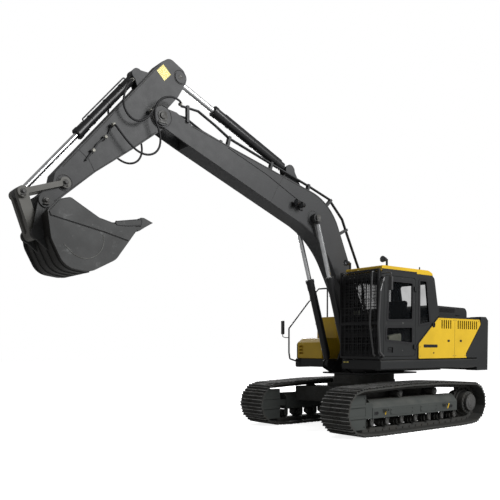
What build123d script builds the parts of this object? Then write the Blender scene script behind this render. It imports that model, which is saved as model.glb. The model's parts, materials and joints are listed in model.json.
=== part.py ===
"""Crawler excavator of the 21-tonne class: every piece is its own solid.

Millimetres. +X points forward, to the bucket; +Y to the machine's left, the cab's side; +Z up.
Everything is drawn about the swing axis (x = 0, ground at z = 0) and moved by export_node so that the
origin comes to the middle of the whole machine's footprint. The working arm is drawn in the pose that
the machine is parked in: boom raised, bucket curled.
"""
from build123d import *
import os
from math import asin, atan2, cos, degrees, hypot, pi, radians, sin, tan

# ---------------------------------------------------------------- driving dimensions
SWING_BEHIND_ORIGIN = 2110  # the swing axis lies this far behind the middle of the machine's length

# undercarriage
GAUGE = 2390  # between the tracks' middles
SHOE_WIDTH = 700
SHOE_PITCH = 190
PIN_CIRCLE = 352  # radius of the chain's pins on sprocket and idler
END_WHEEL_HEIGHT = 445
IDLER_X = 1650
SPROCKET_X = -1690
RAIL_DEPTH = 50  # from the chain's pins in to the links' rails
BELT_INSIDE = 20  # from the pins out to the shoes' inner faces
BELT_OUTSIDE = 38  # out to the dip between two shoes
SHOE_FACE = 50  # out to a shoe's plate
BAR_TOP = 76  # out to the tops of its bars
LINK_OFFSET = 72  # from the track's middle to each row of links
LINK_WIDTH = 50
ROLLER_COUNT = 7
ROLLER_FIRST_X = -1230
ROLLER_LAST_X = 1250
ROLLER_TREAD = 75
ROLLER_HEIGHT = 202
CARRIER_X = (400, -670)
CARRIER_TREAD = 70
CARRIER_HEIGHT = 722
SPROCKET_TEETH = 23
TIE_DOWN_X = (920, -870)
TIE_DOWN_RADIUS = 28
RING_RADIUS = 620

# upper structure
UPPER_HALF = 1345
SILL_BOTTOM = 1165
DECK_TOP = 1350
BASE_BOTTOM = 1050
TAIL_RADIUS = 2800
LIFTING_HOLE = (-2480, 800, 18.75, 75)  # x, y either side, tapping radius, depth
HOOD_TOP = 2460
SHOULDER_TOP = 2200
CAB_LEFT = 1335
CAB_RIGHT = 385
CAB_FRONT = 1030
CAB_TOP = 2985
ROOF_TOP = 3085
GUARD_BACK = 1050  # mesh guard before the windscreen
GUARD_FRONT = 1085
WALL = 55

# working arm: pin centres in the X-Z plane
BOOM_FOOT = (180, 1825)
BOOM_CYLINDER_FOOT = (760, 1250)
BOOM_CYLINDER_EYE = (1620, 4000)
ARM_PIN = (4800, 5170)
ARM_CYLINDER_FOOT = (2100, 4830)
ARM_ANGLE = -40.5
ARM_LENGTH = 2410
BUCKET_ANGLE = -173.1
TIP_RADIUS = 1470

# widths across the pivots
BOOM_HALF = 185
BOOM_BOSS = 195
ARM_HALF = 148
EYE_HALF = 50
EAR_INNER = 160
EAR_THICKNESS = 50
LINK_INNER = 162
LINK_THICKNESS = 36
CYLINDER_Y = 280
CYLINDER_BAY = 372  # the deck stops here beside the boom's cylinders
PLATE_INNER = 205  # the swing frame's two upright plates
PLATE_OUTER = 237
BUCKET_HALF = 560

# pipes and hoses; routes are (x, z) or (x, y, z)
PIPE_RADIUS = 14
PIPE_ROUTE_NEAR = [
    (150, 2360), (200, 2800), (330, 3190), (660, 3820), (800, 4100), (1160, 4440), (1680, 4600), (2590, 4850),
    (3500, 5110),
]
PIPE_ROUTE_FAR = [(3830, 5240), (4150, 5390)]
PIPE_CLAMPS = [  # x, z, lean from upright, length down from the pipes, y from, y to
    (3500, 5110, 16, 210, 96, 170), (2590, 4850, 15, 170, 96, 170), (1700, 4605, 14, 170, 96, 170),
    (1130, 4412, 43, 300, 96, 170), (700, 3900, 62, 340, 96, 170), (240, 2920, 62, 320, 96, 170),
    (4350, 5400, 0, 260, 164, 222),
]
NOSE_PIPE_Z = 5400
HOSE_START = 236  # the pipes at the nose end this far from the middle
HOSE_RADIUS = 16
ARM_BLOCK_TOP = 196  # face of the blocks on the arm's sides that hold its lines
ARM_HOSE = [
    (4520, HOSE_START, 5400), (4520, 306, 5400), (4600, 314, 5440), (4725, 310, 5452), (4880, 305, 5385),
    (4985, 300, 5240), (4990, 300, 5050), (4910, 300, 4880), (4890, 300, 4700), (4965, 300, 4550),
    (5120, 300, 4480), (5290, 300, 4510), (5430, 297, 4620), (5548, 283, 4745), (5625, 266, 4850),
    (5625, ARM_BLOCK_TOP, 4850),
]
BUCKET_HOSE = [
    (5275, 106, 5610), (5275, 176, 5610), (5330, 225, 5560), (5415, 255, 5465), (5470, 262, 5330),
    (5490, 262, 5150), (5400, 260, 5010), (5260, 255, 4965), (5120, 258, 5030), (5045, 266, 5120),
    (5010, 268, 5190), (5010, ARM_BLOCK_TOP, 5190),
]
ARM_LINE_ROUTE = [(5640, 4830), (5677, 4726), (5720, 4670), (5848, 4547), (5941, 4400), (6032, 4270)]
ARM_BLOCKS = [(5625, 4850), (5010, 5190), (5735, 4655), (5925, 4425)]


# ---------------------------------------------------------------- shared ways of making shapes
class LocalFrame:
    """A frame in the X-Z plane: u along its angle, v a quarter turn anticlockwise from u."""

    def __init__(self, origin, angle):
        self.origin = origin
        self.angle = radians(angle)

    def at(self, u, v):
        c, s = cos(self.angle), sin(self.angle)
        return (self.origin[0] + c * u - s * v, self.origin[1] + s * u + c * v)

    def rows(self, table):
        """A table of (u, v, corner radius) in this frame, as (x, z, corner radius)."""
        return [(*self.at(u, v), r) for u, v, r in table]


def slab(rows, y0, y1):
    """An outline in the X-Z plane, given as (x, z, corner radius), made solid from y0 to y1."""
    points = [(x, y0, z) for x, z, _ in rows]
    wire = FilletPolyline(*points, radius=[r for _, _, r in rows], close=True)
    return extrude(make_face(wire), amount=abs(y1 - y0), dir=(0, 1 if y1 > y0 else -1, 0))


def plan(rows, z0, z1):
    """An outline in the X-Y plane, given as (x, y, corner radius), made solid from z0 to z1."""
    points = [(x, y, z0) for x, y, _ in rows]
    wire = FilletPolyline(*points, radius=[r for _, _, r in rows], close=True)
    return extrude(make_face(wire), amount=z1 - z0, dir=(0, 0, 1))


def section(rows, x0, x1):
    """An outline in the Y-Z plane, given as (y, z, corner radius), made solid from x0 to x1."""
    points = [(x0, y, z) for y, z, _ in rows]
    wire = FilletPolyline(*points, radius=[r for _, _, r in rows], close=True)
    return extrude(make_face(wire), amount=x1 - x0, dir=(1, 0, 0))


def block(x0, x1, y0, y1, z0, z1):
    return Pos((x0 + x1) / 2, (y0 + y1) / 2, (z0 + z1) / 2) * Box(x1 - x0, y1 - y0, z1 - z0)


def drum(centre, radius, y0, y1):
    """A cylinder along Y."""
    return Pos(centre[0], (y0 + y1) / 2, centre[1]) * Rot(90, 0, 0) * Cylinder(radius, abs(y1 - y0))


def post(x, y, radius, z0, z1):
    """A cylinder along Z."""
    return Pos(x, y, (z0 + z1) / 2) * Cylinder(radius, z1 - z0)


def strap(a, radius_a, b, radius_b, y0, y1):
    """A plate with two round ends joined by their outer tangents."""
    dx, dz = b[0] - a[0], b[1] - a[1]
    length = hypot(dx, dz)
    lean = asin((radius_a - radius_b) / length)
    heading = atan2(dz, dx)
    corners = []
    for side in (1, -1):
        normal = heading + side * (pi / 2 - lean)
        ends = [(c[0] + r * cos(normal), c[1] + r * sin(normal), 0) for c, r in ((a, radius_a), (b, radius_b))]
        corners += ends if side == 1 else ends[::-1]
    return slab(corners, y0, y1) + drum(a, radius_a, y0, y1) + drum(b, radius_b, y0, y1)


def between(a, b, t):
    return (a[0] + (b[0] - a[0]) * t, a[1] + (b[1] - a[1]) * t)


def along(a, b, distance):
    return between(a, b, distance / hypot(b[0] - a[0], b[1] - a[1]))


def rod_between(a, b, radius, y):
    """A round bar in a plane of constant y from a to b, both (x, z)."""
    start = Vector(a[0], y, a[1])
    way = Vector(b[0], y, b[1]) - start
    return Plane(origin=start, z_dir=way) * Pos(0, 0, way.length / 2) * Cylinder(radius, way.length)


def pipe(points, radius, bend):
    """A round tube through points, its corners bent to one radius."""
    path = FilletPolyline(*points, radius=bend) if len(points) > 2 else Line(*points)
    return sweep(Plane(origin=path @ 0, z_dir=path % 0) * Circle(radius), path=path)


def mirrored(shape):
    """The same shape on the other side of the machine."""
    return mirror(shape, about=Plane.XZ)


def pair(shape):
    return [shape, mirrored(shape)]


def export_node(name, shapes):
    """Write one node: a single solid or several that don't touch."""
    shapes = shapes if isinstance(shapes, list) else [shapes]
    solids = [solid for shape in shapes for solid in shape.solids()]
    moved = [Pos(-SWING_BEHIND_ORIGIN, 0, 0) * solid for solid in solids]
    export_step(moved[0] if len(moved) == 1 else Compound(children=moved), f"parts/{name}.step")


# ---------------------------------------------------------------- undercarriage
def chain_path(discs):
    """Anticlockwise belt of lines and arcs round discs of (x, z, radius), as (length, point at) pieces."""
    pieces = []
    ways = []
    for (xa, za, ra), (xb, zb, rb) in zip(discs, discs[1:] + discs[:1]):
        heading = atan2(zb - za, xb - xa)
        lean = asin((ra - rb) / hypot(xb - xa, zb - za))
        ways.append(heading + lean - pi / 2)
    for index, (x, z, r) in enumerate(discs):
        start, end = ways[index - 1], ways[index]
        turn = (end - start) % (2 * pi)
        pieces.append((r * turn, lambda s, x=x, z=z, r=r, a=start: (x + r * cos(a + s / r), z + r * sin(a + s / r))))
        xb, zb, rb = discs[(index + 1) % len(discs)]
        p = (x + r * cos(end), z + r * sin(end))
        q = (xb + rb * cos(end), zb + rb * sin(end))
        pieces.append((hypot(q[0] - p[0], q[1] - p[1]), lambda s, p=p, q=q: along(p, q, s)))
    return pieces


def point_on(pieces, s):
    """The point a distance s along a belt's pieces."""
    for length, point_at in pieces:
        if s <= length:
            break
        s -= length
    return point_at(s)


def chain_pins():
    """Centres of the chain's pins: whole links on the flat ground run, then evenly round the rest."""
    drop = ROLLER_TREAD + 1 + RAIL_DEPTH
    rise = CARRIER_TREAD + 3 + RAIL_DEPTH
    pieces = chain_path([
        (ROLLER_FIRST_X, ROLLER_HEIGHT, drop),
        (ROLLER_LAST_X, ROLLER_HEIGHT, drop),
        (IDLER_X, END_WHEEL_HEIGHT, PIN_CIRCLE),
        (CARRIER_X[0], CARRIER_HEIGHT, rise),
        (CARRIER_X[1], CARRIER_HEIGHT, rise),
        (SPROCKET_X, END_WHEEL_HEIGHT, PIN_CIRCLE),
    ])
    pieces = pieces[1:] + pieces[:1]  # the ground run comes first
    ground = pieces[0][0]
    rest = sum(length for length, _ in pieces) - ground
    ground_links, rest_links = round(ground / SHOE_PITCH), round(rest / SHOE_PITCH)
    places = [ground * index / ground_links for index in range(ground_links)]
    places += [ground + rest * index / rest_links for index in range(rest_links)]
    return [point_on(pieces, s) for s in places]


# one shoe's outer profile: distance along it as a share of half the pitch, height above the pins
SHOE_PROFILE = [
    (-0.86, BAR_TOP), (-0.73, BAR_TOP), (-0.66, SHOE_FACE), (-0.08, SHOE_FACE), (-0.05, BAR_TOP),
    (0.05, BAR_TOP), (0.08, SHOE_FACE), (0.66, SHOE_FACE), (0.73, BAR_TOP), (0.86, BAR_TOP),
]


def track():
    """One fixed loop: shoes with three bars each, carried by two rows of links."""
    pins = chain_pins()
    outer, inner, rail = [], [], []
    for index, pin in enumerate(pins):
        before, after = pins[index - 1], pins[(index + 1) % len(pins)]
        joint = LocalFrame(pin, degrees(atan2(after[1] - before[1], after[0] - before[0])))
        outer.append(joint.at(0, -BELT_OUTSIDE))
        inner.append(joint.at(0, -BELT_INSIDE))
        rail.append(joint.at(0, RAIL_DEPTH))
        shoe = LocalFrame(between(pin, after, 0.5), degrees(atan2(after[1] - pin[1], after[0] - pin[0])))
        half = hypot(after[0] - pin[0], after[1] - pin[1]) / 2
        outer += [shoe.at(share * half, -height) for share, height in SHOE_PROFILE]

    def ring(outside, inside, low, high):
        outside_face = make_face(Polyline([(x, low, z) for x, z in outside], close=True))
        inside_face = make_face(Polyline([(x, low, z) for x, z in inside], close=True))
        return extrude(outside_face - inside_face, amount=high - low, dir=(0, 1, 0))

    belt = ring(outer, inner, GAUGE / 2 - SHOE_WIDTH / 2, GAUGE / 2 + SHOE_WIDTH / 2)
    for side in (-1, 1):
        middle = GAUGE / 2 + side * LINK_OFFSET
        belt += ring(inner, rail, middle - LINK_WIDTH / 2, middle + LINK_WIDTH / 2)
    return belt


def end_wheel(x, tread, flange):
    """Idler: a tread for each row of links and a flange that runs between them."""
    y = GAUGE / 2
    wheel = drum((x, END_WHEEL_HEIGHT), tread, y - 100, y + 100)
    wheel += drum((x, END_WHEEL_HEIGHT), flange, y - 42, y + 42)
    wheel -= drum((x, END_WHEEL_HEIGHT), tread - 45, y + 60, y + 101)
    wheel -= drum((x, END_WHEEL_HEIGHT), tread - 45, y - 101, y - 60)
    return wheel + drum((x, END_WHEEL_HEIGHT), 85, y - 125, y + 125)


def sprocket():
    """Drive sprocket between the rows of links, on the final drive's round hub."""
    y = GAUGE / 2
    centre = (SPROCKET_X, END_WHEEL_HEIGHT)
    frame = LocalFrame(centre, 0)
    rows = []
    for tooth in range(SPROCKET_TEETH):
        for share, radius in ((0.0, 318), (0.25, 318), (0.40, 352), (0.60, 352), (0.75, 318)):
            angle = 2 * pi * (tooth + share) / SPROCKET_TEETH
            rows.append((*frame.at(radius * cos(angle), radius * sin(angle)), 0))
    wheel = slab(rows, y - 28, y + 28)
    wheel += drum(centre, 265, y - 60, y + 60)
    wheel += drum(centre, 225, y + 60, y + 190)
    return wheel + drum(centre, 170, y + 190, y + 245)


def track_frame():
    """Side beam with a sloped top, the idler's yoke and cover, tie-down eyes, and the final drive's mount."""
    y = GAUGE / 2
    inner_face, outer_face = 1010, 1385
    beam = section(
        [
            (inner_face, 305, 10), (outer_face, 305, 10), (outer_face, 500, 20), (1260, 640, 20),
            (1120, 640, 20), (inner_face, 560, 20),
        ],
        -1290, 1260,
    )
    beam += block(-1500, -1290, inner_face, y - 110, 320, 560)
    beam += drum((SPROCKET_X, END_WHEEL_HEIGHT), 235, inner_face, y - 65)
    beam += slab(
        [(-1290, 320, 0), (-1290, 560, 0), (SPROCKET_X, 600, 0), (SPROCKET_X, 290, 0)], inner_face, y - 110
    )
    for low in (y - 165, y + 130):
        beam += block(1200, 1700, low, low + 35, 385, 505)
    for x in TIE_DOWN_X:
        eye = plan([(x - 75, outer_face - 1, 0), (x + 75, outer_face - 1, 0), (x, 1510, 45)], 430, 465)
        beam += eye - post(x, 1440, TIE_DOWN_RADIUS, 429, 466)
    return beam + idler_guard()


def idler_guard():
    """Cover plate beside the idler, with two flat ribs."""
    y = GAUGE / 2 + 165
    plate = slab(
        [(1430, 125, 30), (1780, 125, 90), (1950, 300, 110), (1960, 560, 110), (1800, 740, 110), (1430, 740, 30)],
        y, y + 18,
    )
    for height in (END_WHEEL_HEIGHT - 100, END_WHEEL_HEIGHT + 100):
        plate += block(1440, 1930, y + 18, y + 40, height - 18, height + 18)
    return plate


def track_rollers():
    rollers = []
    y = GAUGE / 2
    step = (ROLLER_LAST_X - ROLLER_FIRST_X) / (ROLLER_COUNT - 1)
    for index in range(ROLLER_COUNT):
        centre = (ROLLER_FIRST_X + index * step, ROLLER_HEIGHT)
        roller = drum(centre, ROLLER_TREAD, y - 100, y + 100) + drum(centre, 94, y - 42, y + 42)
        roller += drum(centre, 48, y - 165, y + 165)
        for low in (y - 165, y + 135):
            roller += block(centre[0] - 48, centre[0] + 48, low, low + 30, ROLLER_HEIGHT, 304.5)
        rollers.append(roller)
    return rollers


def carrier_rollers():
    rollers = []
    y = GAUGE / 2
    for x in CARRIER_X:
        centre = (x, CARRIER_HEIGHT)
        roller = drum(centre, CARRIER_TREAD, y - 100, y + 100)
        roller += drum(centre, 40, y - 170, y + 100)
        roller += section([(1025, 571, 0), (1075, 607.5, 0), (1075, 735, 20), (1025, 735, 20)], x - 45, x + 45)
        rollers.append(roller)
    return rollers


def centre_frame():
    """X-shaped frame: a ring seat on a box, and four legs out to the track frames."""
    frame = block(-560, 560, -520, 520, 520, 860)
    frame += post(0, 0, RING_RADIUS + 20, 860, 930)
    leg = plan([(150, 430, 0), (560, 60, 0), (1010, 1009.5, 0), (480, 1009.5, 0)], 480, 780)
    for legs in pair(leg):
        frame += legs
        frame += mirror(legs, about=Plane.YZ)
    return frame


def swing_bearing():
    return post(0, 0, RING_RADIUS, 930.0, 1042) - post(0, 0, 510, 929, 1043)


# ---------------------------------------------------------------- upper structure
def main_plate(y0, y1):
    """One of the two long upright plates that carry the boom's foot and its cylinders."""
    fx, fz = BOOM_FOOT
    cx, cz = BOOM_CYLINDER_FOOT
    plate = slab(
        [
            (-2300, BASE_BOTTOM + 30, 0), (640, BASE_BOTTOM + 30, 60), (cx + 30, cz - 98, 0), (cx + 30, cz + 75, 30),
            (cx - 200, cz + 75, 60), (fx + 170, fz - 20, 0), (fx - 165, fz - 20, 0), (-620, DECK_TOP, 200),
            (-2300, DECK_TOP, 0),
        ],
        y0, y1,
    )
    return plate + drum(BOOM_FOOT, 168, y0, y1) + drum(BOOM_CYLINDER_FOOT, 102, y0, y1)


def swing_frame():
    """Deck: base plate over the bearing, two main plates, outriggers and the sills round the edge."""
    frame = plan([(-1000, -620, 80), (640, -620, 80), (640, 620, 80), (-1000, 620, 80)], BASE_BOTTOM, BASE_BOTTOM + 30)
    frame -= post(0, 0, 420, BASE_BOTTOM - 1, BASE_BOTTOM + 31)
    for plate in pair(main_plate(PLATE_INNER, PLATE_OUTER)):
        frame += plate
    lug = slab([(400, 1080, 0), (640, 1080, 60), (790, 1152, 0), (790, 1346, 0), (550, 1350, 40), (400, 1350, 0)], 325, 360)
    lug += drum(BOOM_CYLINDER_FOOT, 102, 325, 360)
    for plate in pair(lug):
        frame += plate
    for side, front in ((1, CAB_FRONT - 10), (-1, 690)):
        low, high = sorted((side * PLATE_OUTER, side * UPPER_HALF))
        frame += block(-2050, 380, low, high, DECK_TOP - 16, DECK_TOP)
        near, far = sorted((side * CYLINDER_BAY, side * UPPER_HALF))
        frame += block(370, front, near, far, DECK_TOP - 16, DECK_TOP)
        frame += block(front - 60, front, near, far, SILL_BOTTOM + 15, DECK_TOP - 16)
        near, far = sorted((side * CYLINDER_BAY, side * (CYLINDER_BAY + 16)))
        frame += block(370, front, near, far, SILL_BOTTOM + 15, DECK_TOP - 16)
        sill = section(
            [
                (side * (UPPER_HALF - 110), SILL_BOTTOM, 0), (side * (UPPER_HALF + 20), SILL_BOTTOM, 45),
                (side * (UPPER_HALF + 20), DECK_TOP, 35), (side * (UPPER_HALF - 110), DECK_TOP, 0),
            ],
            -2050, front + 10,
        )
        frame += sill
        for x in (-1500, -620, 310):
            frame += block(x, x + 60, low, high, SILL_BOTTOM + 15, DECK_TOP - 16)
    frame += block(-1000, -940, -PLATE_OUTER, PLATE_OUTER, BASE_BOTTOM + 30, DECK_TOP)
    frame += block(420, 480, -PLATE_OUTER, PLATE_OUTER, BASE_BOTTOM + 30, 1240)
    for boss in pair(drum(BOOM_FOOT, 120, 200, 245) + drum(BOOM_FOOT, 78, 245, 267)):
        frame += boss
    for pin in pair(drum(BOOM_CYLINDER_FOOT, 38, PLATE_OUTER, 366)):
        frame += pin
    return frame


def counterweight():
    """Cast tail: a curved back about the swing axis, wings that slope forward, and two tapped lifting holes."""
    top = SHOULDER_TOP + 40
    back = post(0, 0, TAIL_RADIUS, 1100, top) & block(-3000, -1500, -UPPER_HALF, UPPER_HALF, 1100, top)
    tail_edges = back.faces().filter_by(Axis.Z).sort_by(Axis.Z)[-1].edges().filter_by(GeomType.CIRCLE)
    back = chamfer(tail_edges, 75)
    core = block(-2250, -1400, -1080, 1080, 1000, 2300)
    cut = slab(
        [
            (-1400, 1000, 0), (-1400, 1371, 0), (-1695, 1371, 0), (-1640, 1425, 0), (-2175, 2050, 0),
            (-2175, 2241, 0), (-1400, 2241, 0),
        ],
        -1400, 1400,
    )
    low_front = block(-2050, -1400, -1400, 1400, 1000, 1372)
    weight = back - core - cut - low_front - block(-2400, -1400, -240, 240, 1000, 1425)
    x, y, radius, depth = LIFTING_HOLE
    return weight - post(x, y, radius, top - depth, top + 1) - post(x, -y, radius, top - depth, top + 1)


def engine_block():
    return block(-2000, -1050, -450, 450, DECK_TOP + 0.5, 2000)


def engine_hood():
    """Raised middle of the bonnet with an air intake, over its two flat shoulders."""
    skin = 30
    front, rear, half, drop = -900, -2245, 950, 20
    rows = [
        (rear, SHOULDER_TOP, 0), (rear, HOOD_TOP - drop, 120), (front, HOOD_TOP, 90), (front, SHOULDER_TOP, 0),
    ]
    inner = [
        (rear + skin, SHOULDER_TOP - 1, 0), (rear + skin, HOOD_TOP - drop - skin, 90),
        (front - skin, HOOD_TOP - skin, 70), (front - skin, SHOULDER_TOP - 1, 0),
    ]
    hood = slab(rows, -half, half) - slab(inner, -half + skin, half - skin)
    for row in range(6):
        x = -1620 - row * 60
        hood -= block(x - 15, x + 15, 420, 860, HOOD_TOP - 250, HOOD_TOP + 1)
    for side in (1, -1):
        low, high = sorted((side * half, side * (UPPER_HALF - 1)))
        hood += block(-2120, -735, low, high, SHOULDER_TOP - 25, SHOULDER_TOP)
    return hood


def side_panel(side):
    """Yellow body side with slanted ends and two groups of air slots; the right one starts behind the tank."""
    bottom, top = DECK_TOP + 22, SHOULDER_TOP - 27
    rows = [
        (-72, bottom, 25), (-72, 1655, 40), (-690, top, 30), (-2115, top, 30), (-2150, 2070, 20),
        (-1610, 1440, 60), (-1665, bottom, 10),
    ]
    if side < 0:
        rows = [(-590, bottom, 25), (-590, top, 30)] + rows[3:]
    low, high = sorted((side * (UPPER_HALF - 25), side * (UPPER_HALF + 12)))
    panel = slab(rows, low, high)
    for first, count in ((-800, 5), (-1345, 10)):
        for index in range(count):
            x = first - index * 73
            slot = [(x - 17, 1965, 0), (x + 17, 1965, 0), (x + 17, 2135, 0), (x - 17, 2135, 0)]
            panel -= slab(slot, low - 1, high + 1)
    return panel


def fuel_tank():
    return fillet(block(-560, 100, -UPPER_HALF, -700, DECK_TOP + 0.5, 2250).edges().filter_by(Axis.Z), 45)


def tool_box():
    """Box ahead of the tank: a step for climbing cut along its outer top edge, and three vents in front."""
    front, top, step = 680, 1780, 110
    rows = [(101, DECK_TOP + 0.5, 0), (front, DECK_TOP + 0.5, 20), (front, 1690, 30), (600, top, 30), (101, top, 0)]
    box = slab(rows, -UPPER_HALF, -560)
    box -= section(
        [(-UPPER_HALF - 10, 1640, 0), (-UPPER_HALF - 10, top + 20, 0), (-UPPER_HALF + step, top + 20, 0)], 90, front + 20
    )
    for height in (1445, 1515, 1585):
        box -= block(front - 60, front + 1, -UPPER_HALF + 75, -UPPER_HALF + 215, height, height + 42)
    return box


def handrails():
    """Grab rail past the tool box up to the tank, and two bowed rails at the cab's front corner."""
    right = [
        (700.5, -1300, 1300), (760, -1300, 1300), (800, -1440, 1340), (800, -1470, 1480), (800, -1470, 2000),
        (110, -1275, 2880), (50, -1050, 2880), (50, -1050, 2250.5),
    ]
    x = GUARD_FRONT + 0.5
    front = [(x, 1240, 2960), (x + 50, 1240, 2960), (1205, 1250, 2000), (x + 50, 1285, 1440), (x, 1285, 1440)]
    y = CAB_LEFT + 0.5
    side = [
        (985, y, 2860), (985, y + 55, 2860), (1120, 1420, 2600), (1165, 1420, 2000), (1110, 1412, 1500),
        (985, y + 55, 1420), (985, y, 1420),
    ]
    return [pipe(right, 17, 30), pipe(front, 16, 25), pipe(side, 22, 28)]


def mirrors():
    """Two mirrors on bent brackets: one from the right rail, one from the cab's front pillar.

    The left one hangs outside the arc of the opening door.
    """
    right = Pos(900, -1560, 2020) * fillet(Box(45, 80, 300).edges(), 15)
    right += pipe([(822, -1474, 1800), (880, -1500, 1800), (900, -1560, 1820), (900, -1560, 1890)], 9, 20)
    left = Pos(1000, 1560, 2733) * fillet(Box(45, 80, 250).edges(), 15)
    y = CAB_LEFT + 0.5
    left += pipe([(985, y, 2925), (985, 1420, 2925), (1000, 1560, 2925), (1000, 1560, 2840)], 9, 25)
    return [right, left]


def lamp_head(x, y, z):
    """Round work lamp that looks forwards, on a post."""
    head = Pos(x, y, z) * Rot(0, 90, 0) * Cone(38, 55, 70)
    head += Pos(x + 40, y, z) * Rot(0, 90, 0) * Cylinder(58, 14)
    return head


def roof_lamps():
    """Two work lamps at the front corners of the cab's roof, on posts with a short arm forward."""
    lamps, roof = [], ROOF_TOP + 0.5
    for x, y in ((985, 470), (850, 1270)):
        post_x = x - 75
        lamp = lamp_head(x, y, 3200) + block(post_x, x, y - 12, y + 12, 3188, 3212)
        lamps.append(lamp + block(post_x - 14, post_x + 14, y - 14, y + 14, roof, 3212))
    return lamps


# ---------------------------------------------------------------- cab
CAB_ROWS = [
    (CAB_FRONT, DECK_TOP + 12, 15), (CAB_FRONT + 4, CAB_TOP, 130), (-560, CAB_TOP, 110), (-725, 2225, 50),
    (-60, 1665, 60), (-60, DECK_TOP + 12, 10),
]
DOOR_HINGE = (0, CAB_LEFT + 26)
DOOR_GAP = 7
DOOR_ROWS = [(15, 1425, 60), (15, 2900, 70), (905, 2900, 70), (925, 1425, 60)]
DOOR_UPPER_WINDOW = [(95, 2105, 45), (95, 2820, 45), (790, 2820, 45), (825, 2080, 45)]
DOOR_LOWER_WINDOW = [(95, 1655, 45), (95, 1985, 45), (850, 1965, 45), (860, 1715, 45)]
QUARTER_WINDOW = [(-105, 2010, 40), (-95, 2890, 40), (-330, 2890, 45), (-450, 2060, 45)]
RIGHT_WINDOW = [(-400, 2150, 60), (-400, 2860, 60), (880, 2860, 60), (900, 1950, 60), (0, 1950, 60)]


def window_across(margin, low, high, radius):
    """Corners of a pane across the cab, as (y, z, corner radius)."""
    right, left = CAB_RIGHT + margin, CAB_LEFT - margin
    return [(right, low, radius), (right, high, radius), (left, high, radius), (left, low, radius)]


WINDSCREEN = window_across(70, 1860, 2860, 50)
LOWER_SCREEN = window_across(70, 1480, 1800, 40)
REAR_WINDOW = window_across(80, 2330, 2840, 50)


def grow(rows, margin):
    """Move every corner of a convex outline outwards by about a margin."""
    cx = sum(x for x, _, _ in rows) / len(rows)
    cz = sum(z for _, z, _ in rows) / len(rows)
    return [(x + margin * (1 if x > cx else -1), z + margin * (1 if z > cz else -1), r) for x, z, r in rows]


def cab_body():
    """Hollow cab: floor, pillars and roof in one shell with the door's opening and the windows cut."""
    floor = DECK_TOP + 12
    inner_rows = [
        (CAB_FRONT - WALL, floor + WALL, 10), (CAB_FRONT - WALL, CAB_TOP - WALL, 80),
        (-560 + WALL, CAB_TOP - WALL, 60), (-725 + WALL + 10, 2245, 30), (-60 + WALL, 1705, 30),
        (-60 + WALL, floor + WALL, 5),
    ]
    body = slab(CAB_ROWS, CAB_RIGHT, CAB_LEFT) - slab(inner_rows, CAB_RIGHT + WALL, CAB_LEFT - WALL)
    body -= slab(grow(DOOR_ROWS, DOOR_GAP), CAB_LEFT - WALL - 5, CAB_LEFT + 5)
    body -= slab(QUARTER_WINDOW, CAB_LEFT - WALL - 5, CAB_LEFT + 5)
    body -= slab(RIGHT_WINDOW, CAB_RIGHT - 5, CAB_RIGHT + WALL + 5)
    for screen in (WINDSCREEN, LOWER_SCREEN):
        body -= section(screen, CAB_FRONT - WALL - 20, CAB_FRONT + 20)
    return body - section(REAR_WINDOW, -900, -500)


def cab_glass():
    """Fixed panes of the front, the left quarter and the right side."""
    panes = [slab(QUARTER_WINDOW, CAB_LEFT - 30, CAB_LEFT - 24)]
    panes.append(slab(RIGHT_WINDOW, CAB_RIGHT + 22, CAB_RIGHT + 28))
    for screen in (WINDSCREEN, LOWER_SCREEN):
        panes.append(section(screen, CAB_FRONT - 30, CAB_FRONT - 24))
    return panes


def cab_roof():
    """Flat roof cap, rounded off at the front and sloped down at the rear."""
    base = CAB_TOP + 0.5
    rows = [
        (CAB_FRONT - 60, base, 0), (CAB_FRONT - 75, ROOF_TOP, 40), (-395, ROOF_TOP, 80), (-525, ROOF_TOP - 45, 30),
        (-540, base, 0),
    ]
    return slab(rows, CAB_RIGHT + 20, CAB_LEFT - 20)


def cab_guard():
    """Mesh guard on a frame in front of the windscreen."""
    y0, y1, z0, z1, member = CAB_RIGHT - 8, CAB_LEFT + 15, 1385, 3010, 35
    guard = block(GUARD_BACK, GUARD_FRONT, y0, y1, z0, z1)
    guard -= block(GUARD_BACK - 1, GUARD_FRONT + 1, y0 + member, y1 - member, z0 + member, z1 - member)
    guard += block(GUARD_BACK, GUARD_FRONT, y0, y1, 2010, 2010 + member)
    middle, wire = (GUARD_BACK + GUARD_FRONT) / 2, 5
    uprights, bars = 9, 12
    for index in range(1, uprights):
        y = y0 + (y1 - y0) * index / uprights
        guard += block(middle - wire, middle + wire, y - wire, y + wire, z0 + 30, z1 - 30)
    for index in range(1, bars):
        z = z0 + (z1 - z0) * index / bars
        guard += block(middle - wire, middle + wire, y0 + 30, y1 - 30, z - wire, z + wire)
    for y in (y0 + 10, y1 - 40):
        for z in (1420, 2960):
            guard += block(CAB_FRONT + 6, GUARD_BACK + 2, y, y + 30, z - 25, z + 25)
    return guard


def cab_door():
    """Door with two windows, a recessed handle and two hinges at its rear edge."""
    skin = 45
    door = slab(DOOR_ROWS, CAB_LEFT - skin, CAB_LEFT)
    for window in (DOOR_UPPER_WINDOW, DOOR_LOWER_WINDOW):
        door -= slab(window, CAB_LEFT - skin - 5, CAB_LEFT + 5)
    recess = [(660, 1490, 0), (660, 1590, 0), (800, 1590, 0), (820, 1490, 0)]
    door -= slab(recess, CAB_LEFT - 25, CAB_LEFT + 5)
    door += block(690, 780, CAB_LEFT - 26, CAB_LEFT - 6, 1550, 1575)
    for z in (1600, 2700):
        door += block(30, 75, CAB_LEFT - 1, CAB_LEFT + 30, z - 40, z + 40)
        door += block(0, 40, CAB_LEFT + 8, CAB_LEFT + 30, z - 40, z + 40)
        door += post(*DOOR_HINGE, 16, z - 40, z + 40)
    return door


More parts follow.
